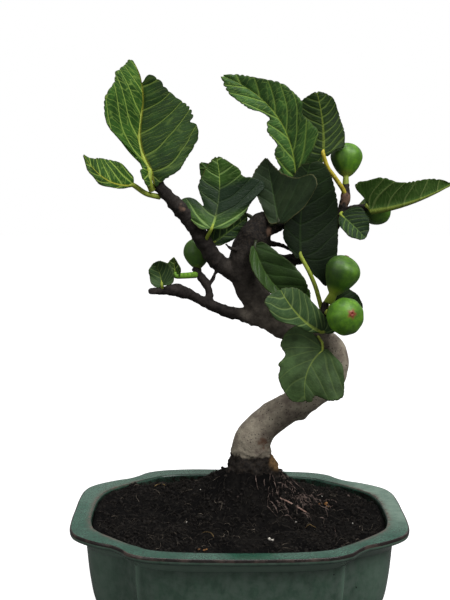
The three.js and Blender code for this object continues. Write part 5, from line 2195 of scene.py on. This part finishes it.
@dataclass(frozen=True)
class Fig:
    """One unripe fig: a thin neck, a nearly round body and a small scaly eye. Sizes are in millimetres.

    Attributes:
        node: CAD node that the fig stands for.
        root: Where the neck leaves the wood.
        middle: Centre of the round body.
        eye: The way the small opening looks.
        radius: Body's radius.
        shaded: How dark the fig is.
        side_shade: How much darker its left side is.
        neck_lit: How far the neck keeps out of the shade.
    """

    node: str
    root: Point
    middle: Point
    eye: Point
    radius: float
    shaded: float = 0.0
    side_shade: float = 0.0
    neck_lit: float = 0.0
    neck_radius: float = 2.5
    draw: float = 0.22
    narrow: float = 0.12
    ribs: int = 9
    rib_depth: float = 0.012
    eye_radius: float = 3.7
    sides: int = 90
    rings: int = 70

    def profile(self, below: float) -> Array:
        """Outline as places along the axis and radii: a ball drawn out at the bottom, joined to the neck.

        Args:
            below: Way from the neck's root to the body's middle.

        Returns:
            Rows of place along the axis and radius, from the root to the eye.
        """
        turn = np.linspace(0, np.pi, 240)
        lean = np.cos(turn)
        pear = np.where(lean > 0, 1 + self.draw * lean**2, 1.0)
        slim = np.where(lean > 0, 1 - self.narrow * lean, 1.0)
        ball_z = -self.radius * lean * pear
        ball = self.radius * np.sin(turn) * slim
        z = np.concatenate([
            np.linspace(-below, -0.9 * self.radius, 26, endpoint=False),
            self.radius * -np.cos(np.linspace(np.arccos(0.9), np.pi, self.rings)),
        ])
        body = np.interp(z, ball_z, ball, left=0.0)
        neck = self.neck_radius * (1 + 0.25 * smooth_step(-below * 0.6, -below, z)) * (z < 0)
        radius = (body**4 + neck**4) ** 0.25
        lip = bell(radius, 0.6, 1.5) - 0.6 * bell(radius, 0.7)
        z = z + 0.75 * lip * (z > 0.9 * self.radius)
        return np.stack([z, np.maximum(radius, 0.05)], axis=1)

    def build(self, skin: Material) -> None:
        """Makes the fig by turning its profile round an axis that bends from the root to the eye.

        The axis point at z is the middle plus z along the straight axis, plus a sideways shift that grows
        with z squared and reaches the root at one end and the eye at the other.

        Args:
            skin: The fig's finish.
        """
        middle, root = np.array(self.middle, dtype=float), np.array(self.root, dtype=float)
        eye = unit(np.array(self.eye, dtype=float))
        axis = unit(eye + unit(middle - root))
        below = float((middle - root) @ axis)
        profile = self.profile(below)
        z, radius = profile[:, 0], profile[:, 1]
        root_shift = (root - middle) + axis * below
        eye_shift = self.radius * (eye - axis * (eye @ axis))
        to_root, to_eye = ((z / reach) ** 2 for reach in (below, self.radius))
        shift = np.where((z < 0)[:, None], root_shift * to_root[:, None], eye_shift * to_eye[:, None])
        centre = middle + axis * z[:, None] + shift
        across = unit(np.cross(axis, [0.0, 1.0, 0.3]))
        turn = 2 * np.pi * np.arange(self.sides) / self.sides
        body = smooth_step(0.25 * self.radius, 0.8 * self.radius, radius)
        ridge = np.cos(self.ribs * turn)[None] * np.ones(len(z))[:, None]
        wide = radius[:, None] * (1 + self.rib_depth * body[:, None] * ridge)
        star = self.eye_radius * (1 + 0.16 * np.cos(5 * turn))[None]
        rings = centre[:, None] + wide[..., None] * ring_ways(across, np.cross(axis, across), self.sides)
        top = (z > 0.6 * self.radius)[:, None]
        leftward = (middle[0] - rings[..., 0]) / self.radius
        neck = smooth_step(-0.85 * self.radius, -1.3 * self.radius, z)[:, None]
        shade = self.shaded + self.side_shade * smooth_step(-0.35, 0.75, leftward)
        values = {
            "rib": (smooth_step(-0.4, -1.0, ridge) * body[:, None]).ravel(),
            "eye": (smooth_step(1.4, 0.4, radius[:, None] / star) * top).ravel(),
            "neck": np.repeat(neck, self.sides),
            "shaded": (shade * (1 - self.neck_lit * neck)).ravel(),
        }
        enlist(build_piece(self.node + "_grown", [capped(rings, values)], skin), "fig_skin", self.node)


FIGS = (
    Fig(
        "fig_top_right", root=(93, 54, 362), middle=(94, 60, 390), eye=(0.1, 0.6, 0.8), radius=13.9,
        side_shade=0.4,
    ),
    Fig(
        "fig_upper_of_pair", root=(75, 11, 269), middle=(85.5, 0, 297), eye=(0.25, 0.7, 0.65), radius=14.5,
        shaded=0.3, side_shade=0.4, neck_lit=0.9, neck_radius=3.4, draw=0.36, narrow=0.08,
    ),
    Fig(
        "fig_lower_of_pair", root=(72, 17, 262), middle=(87, -10, 261), eye=(0.24, -0.94, 0.3), radius=15.6,
    ),
    Fig(
        "fig_left", root=(-35, 33, 292), middle=(-36, 41, 309), eye=(-0.2, -0.1, 1), radius=11.7,
        shaded=0.45,
    ),
    Fig(
        "fig_under_right_leaf", root=(103, 47, 346), middle=(119, 54, 346), eye=(0.8, 0.2, -0.4),
        radius=13.7, side_shade=0.75,
    ),
)


@dataclass(frozen=True)
class SoftBox:
    """Square studio light, in metres and watts: where it hangs, its aim, its size and its power."""

    name: str
    place: Point
    aim: Point
    size: float
    power: float
    colour: str = "#ffffff"

    def hang(self) -> None:
        """Adds the light, turned so that its face looks at the aim."""
        light = bpy.data.lights.new(self.name, "AREA")
        light.size = self.size
        light.energy = self.power
        light.color = linear(self.colour)[:3]
        lamp = bpy.data.objects.new(self.name, light)
        lamp.location = self.place
        lamp.rotation_euler = looking(self.place, self.aim)
        lamp.visible_camera = False
        bpy.context.scene.collection.objects.link(lamp)


def looking(place: Point, aim: Point) -> tuple[float, float, float]:
    """Turn that makes a light look at a place, upright.

    Args:
        place: Where the light hangs.
        aim: Where it looks.

    Returns:
        Turns about x, y and z.
    """
    way = np.subtract(aim, place)
    tilt = np.arctan2(np.hypot(way[0], way[1]), -way[2])
    return (float(tilt), 0.0, float(np.arctan2(-way[0], way[1])))


@dataclass
class Studio:
    """Pale floor, white surroundings, soft lights and the photograph's camera.

    Camera sizes were worked out from the pot's rim: its focal length in pixels, and its place in the
    bonsai's millimetres.
    """

    focal_pixels: float = 1040.0
    sensor_mm: float = 36.0
    camera_place: Point = (-11.85, -854.5, 396.5)
    camera_drop: float = 8.2
    floor_half: float = 4.0
    surround: str = "#ffffff"
    surround_strength: float = 0.22
    lights: tuple[SoftBox, ...] = (
        SoftBox("key", (0.75, -0.85, 1.45), (0.0, 0.0, 0.25), 0.9, 24.0),
        SoftBox("fill", (-1.0, -0.9, 0.75), (0.0, 0.0, 0.22), 1.0, 4.0),
        SoftBox("top", (-0.1, 0.1, 1.5), (0.0, 0.0, 0.3), 0.9, 9.0),
        SoftBox("back", (1.0, 1.4, 1.1), (0.0, 0.0, 0.1), 1.0, 1.0),
    )

    def build(self) -> None:
        """Makes the studio."""
        self.lay_floor()
        self.light_air()
        for light in self.lights:
            light.hang()
        self.place_camera()
        bpy.context.scene.view_settings.view_transform = "Standard"

    def lay_floor(self) -> None:
        """Lays the floor as one flat square."""
        corners = np.array([(-1, -1, 0), (1, -1, 0), (1, 1, 0), (-1, 1, 0)]) * self.floor_half
        shell = Shell(millimetres(corners), [np.array([[0, 1, 2, 3]])])
        floor = build_piece("studio_floor", [shell], StudioPaper().material())

    def light_air(self) -> None:
        """Lights the surroundings softly, and shows them white."""
        tree = ShaderTree(bpy.data.worlds.new("studio_air"))
        seen = tree.add("LightPath", output="Is Camera Ray")
        soft = tree.add("Background", {"Color": self.surround, "Strength": self.surround_strength})
        white = tree.add("Background", {"Color": self.surround, "Strength": 1.0})
        tree.add("OutputWorld", {"Surface": tree.add("MixShader", {0: seen, 1: soft, 2: white})})
        bpy.context.scene.world = tree.owner

    def place_camera(self) -> None:
        """Places the camera with the photograph's view."""
        camera = bpy.data.cameras.new("photo_camera")
        camera.sensor_width = self.sensor_mm
        camera.lens = self.focal_pixels * self.sensor_mm / PHOTO_HEIGHT
        camera.clip_start = 0.05
        holder = bpy.data.objects.new("photo_camera", camera)
        holder.location = metres(np.array(self.camera_place))
        holder.rotation_euler = (float(np.radians(90.0 - self.camera_drop)), 0.0, 0.0)
        bpy.context.scene.collection.objects.link(holder)
        bpy.context.scene.camera = holder


def main() -> None:
    """Builds the studio, the pot, the soil, the wood, the leaves and the figs."""
    logging.basicConfig(level=logging.INFO, format="%(message)s")
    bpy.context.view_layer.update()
    Studio().build()
    pot = Pot()
    pot.build()
    Soil(pot).build()
    Wood().build()
    finishes = {look: look.value.material() for look in (*LeafLook, *StalkLook)}
    for leaf in LEAVES:
        leaf.build(finishes)
    skin = UnripeFigSkin().material()
    for fig in FIGS:
        fig.build(skin)


if __name__ == "__main__":
    main()
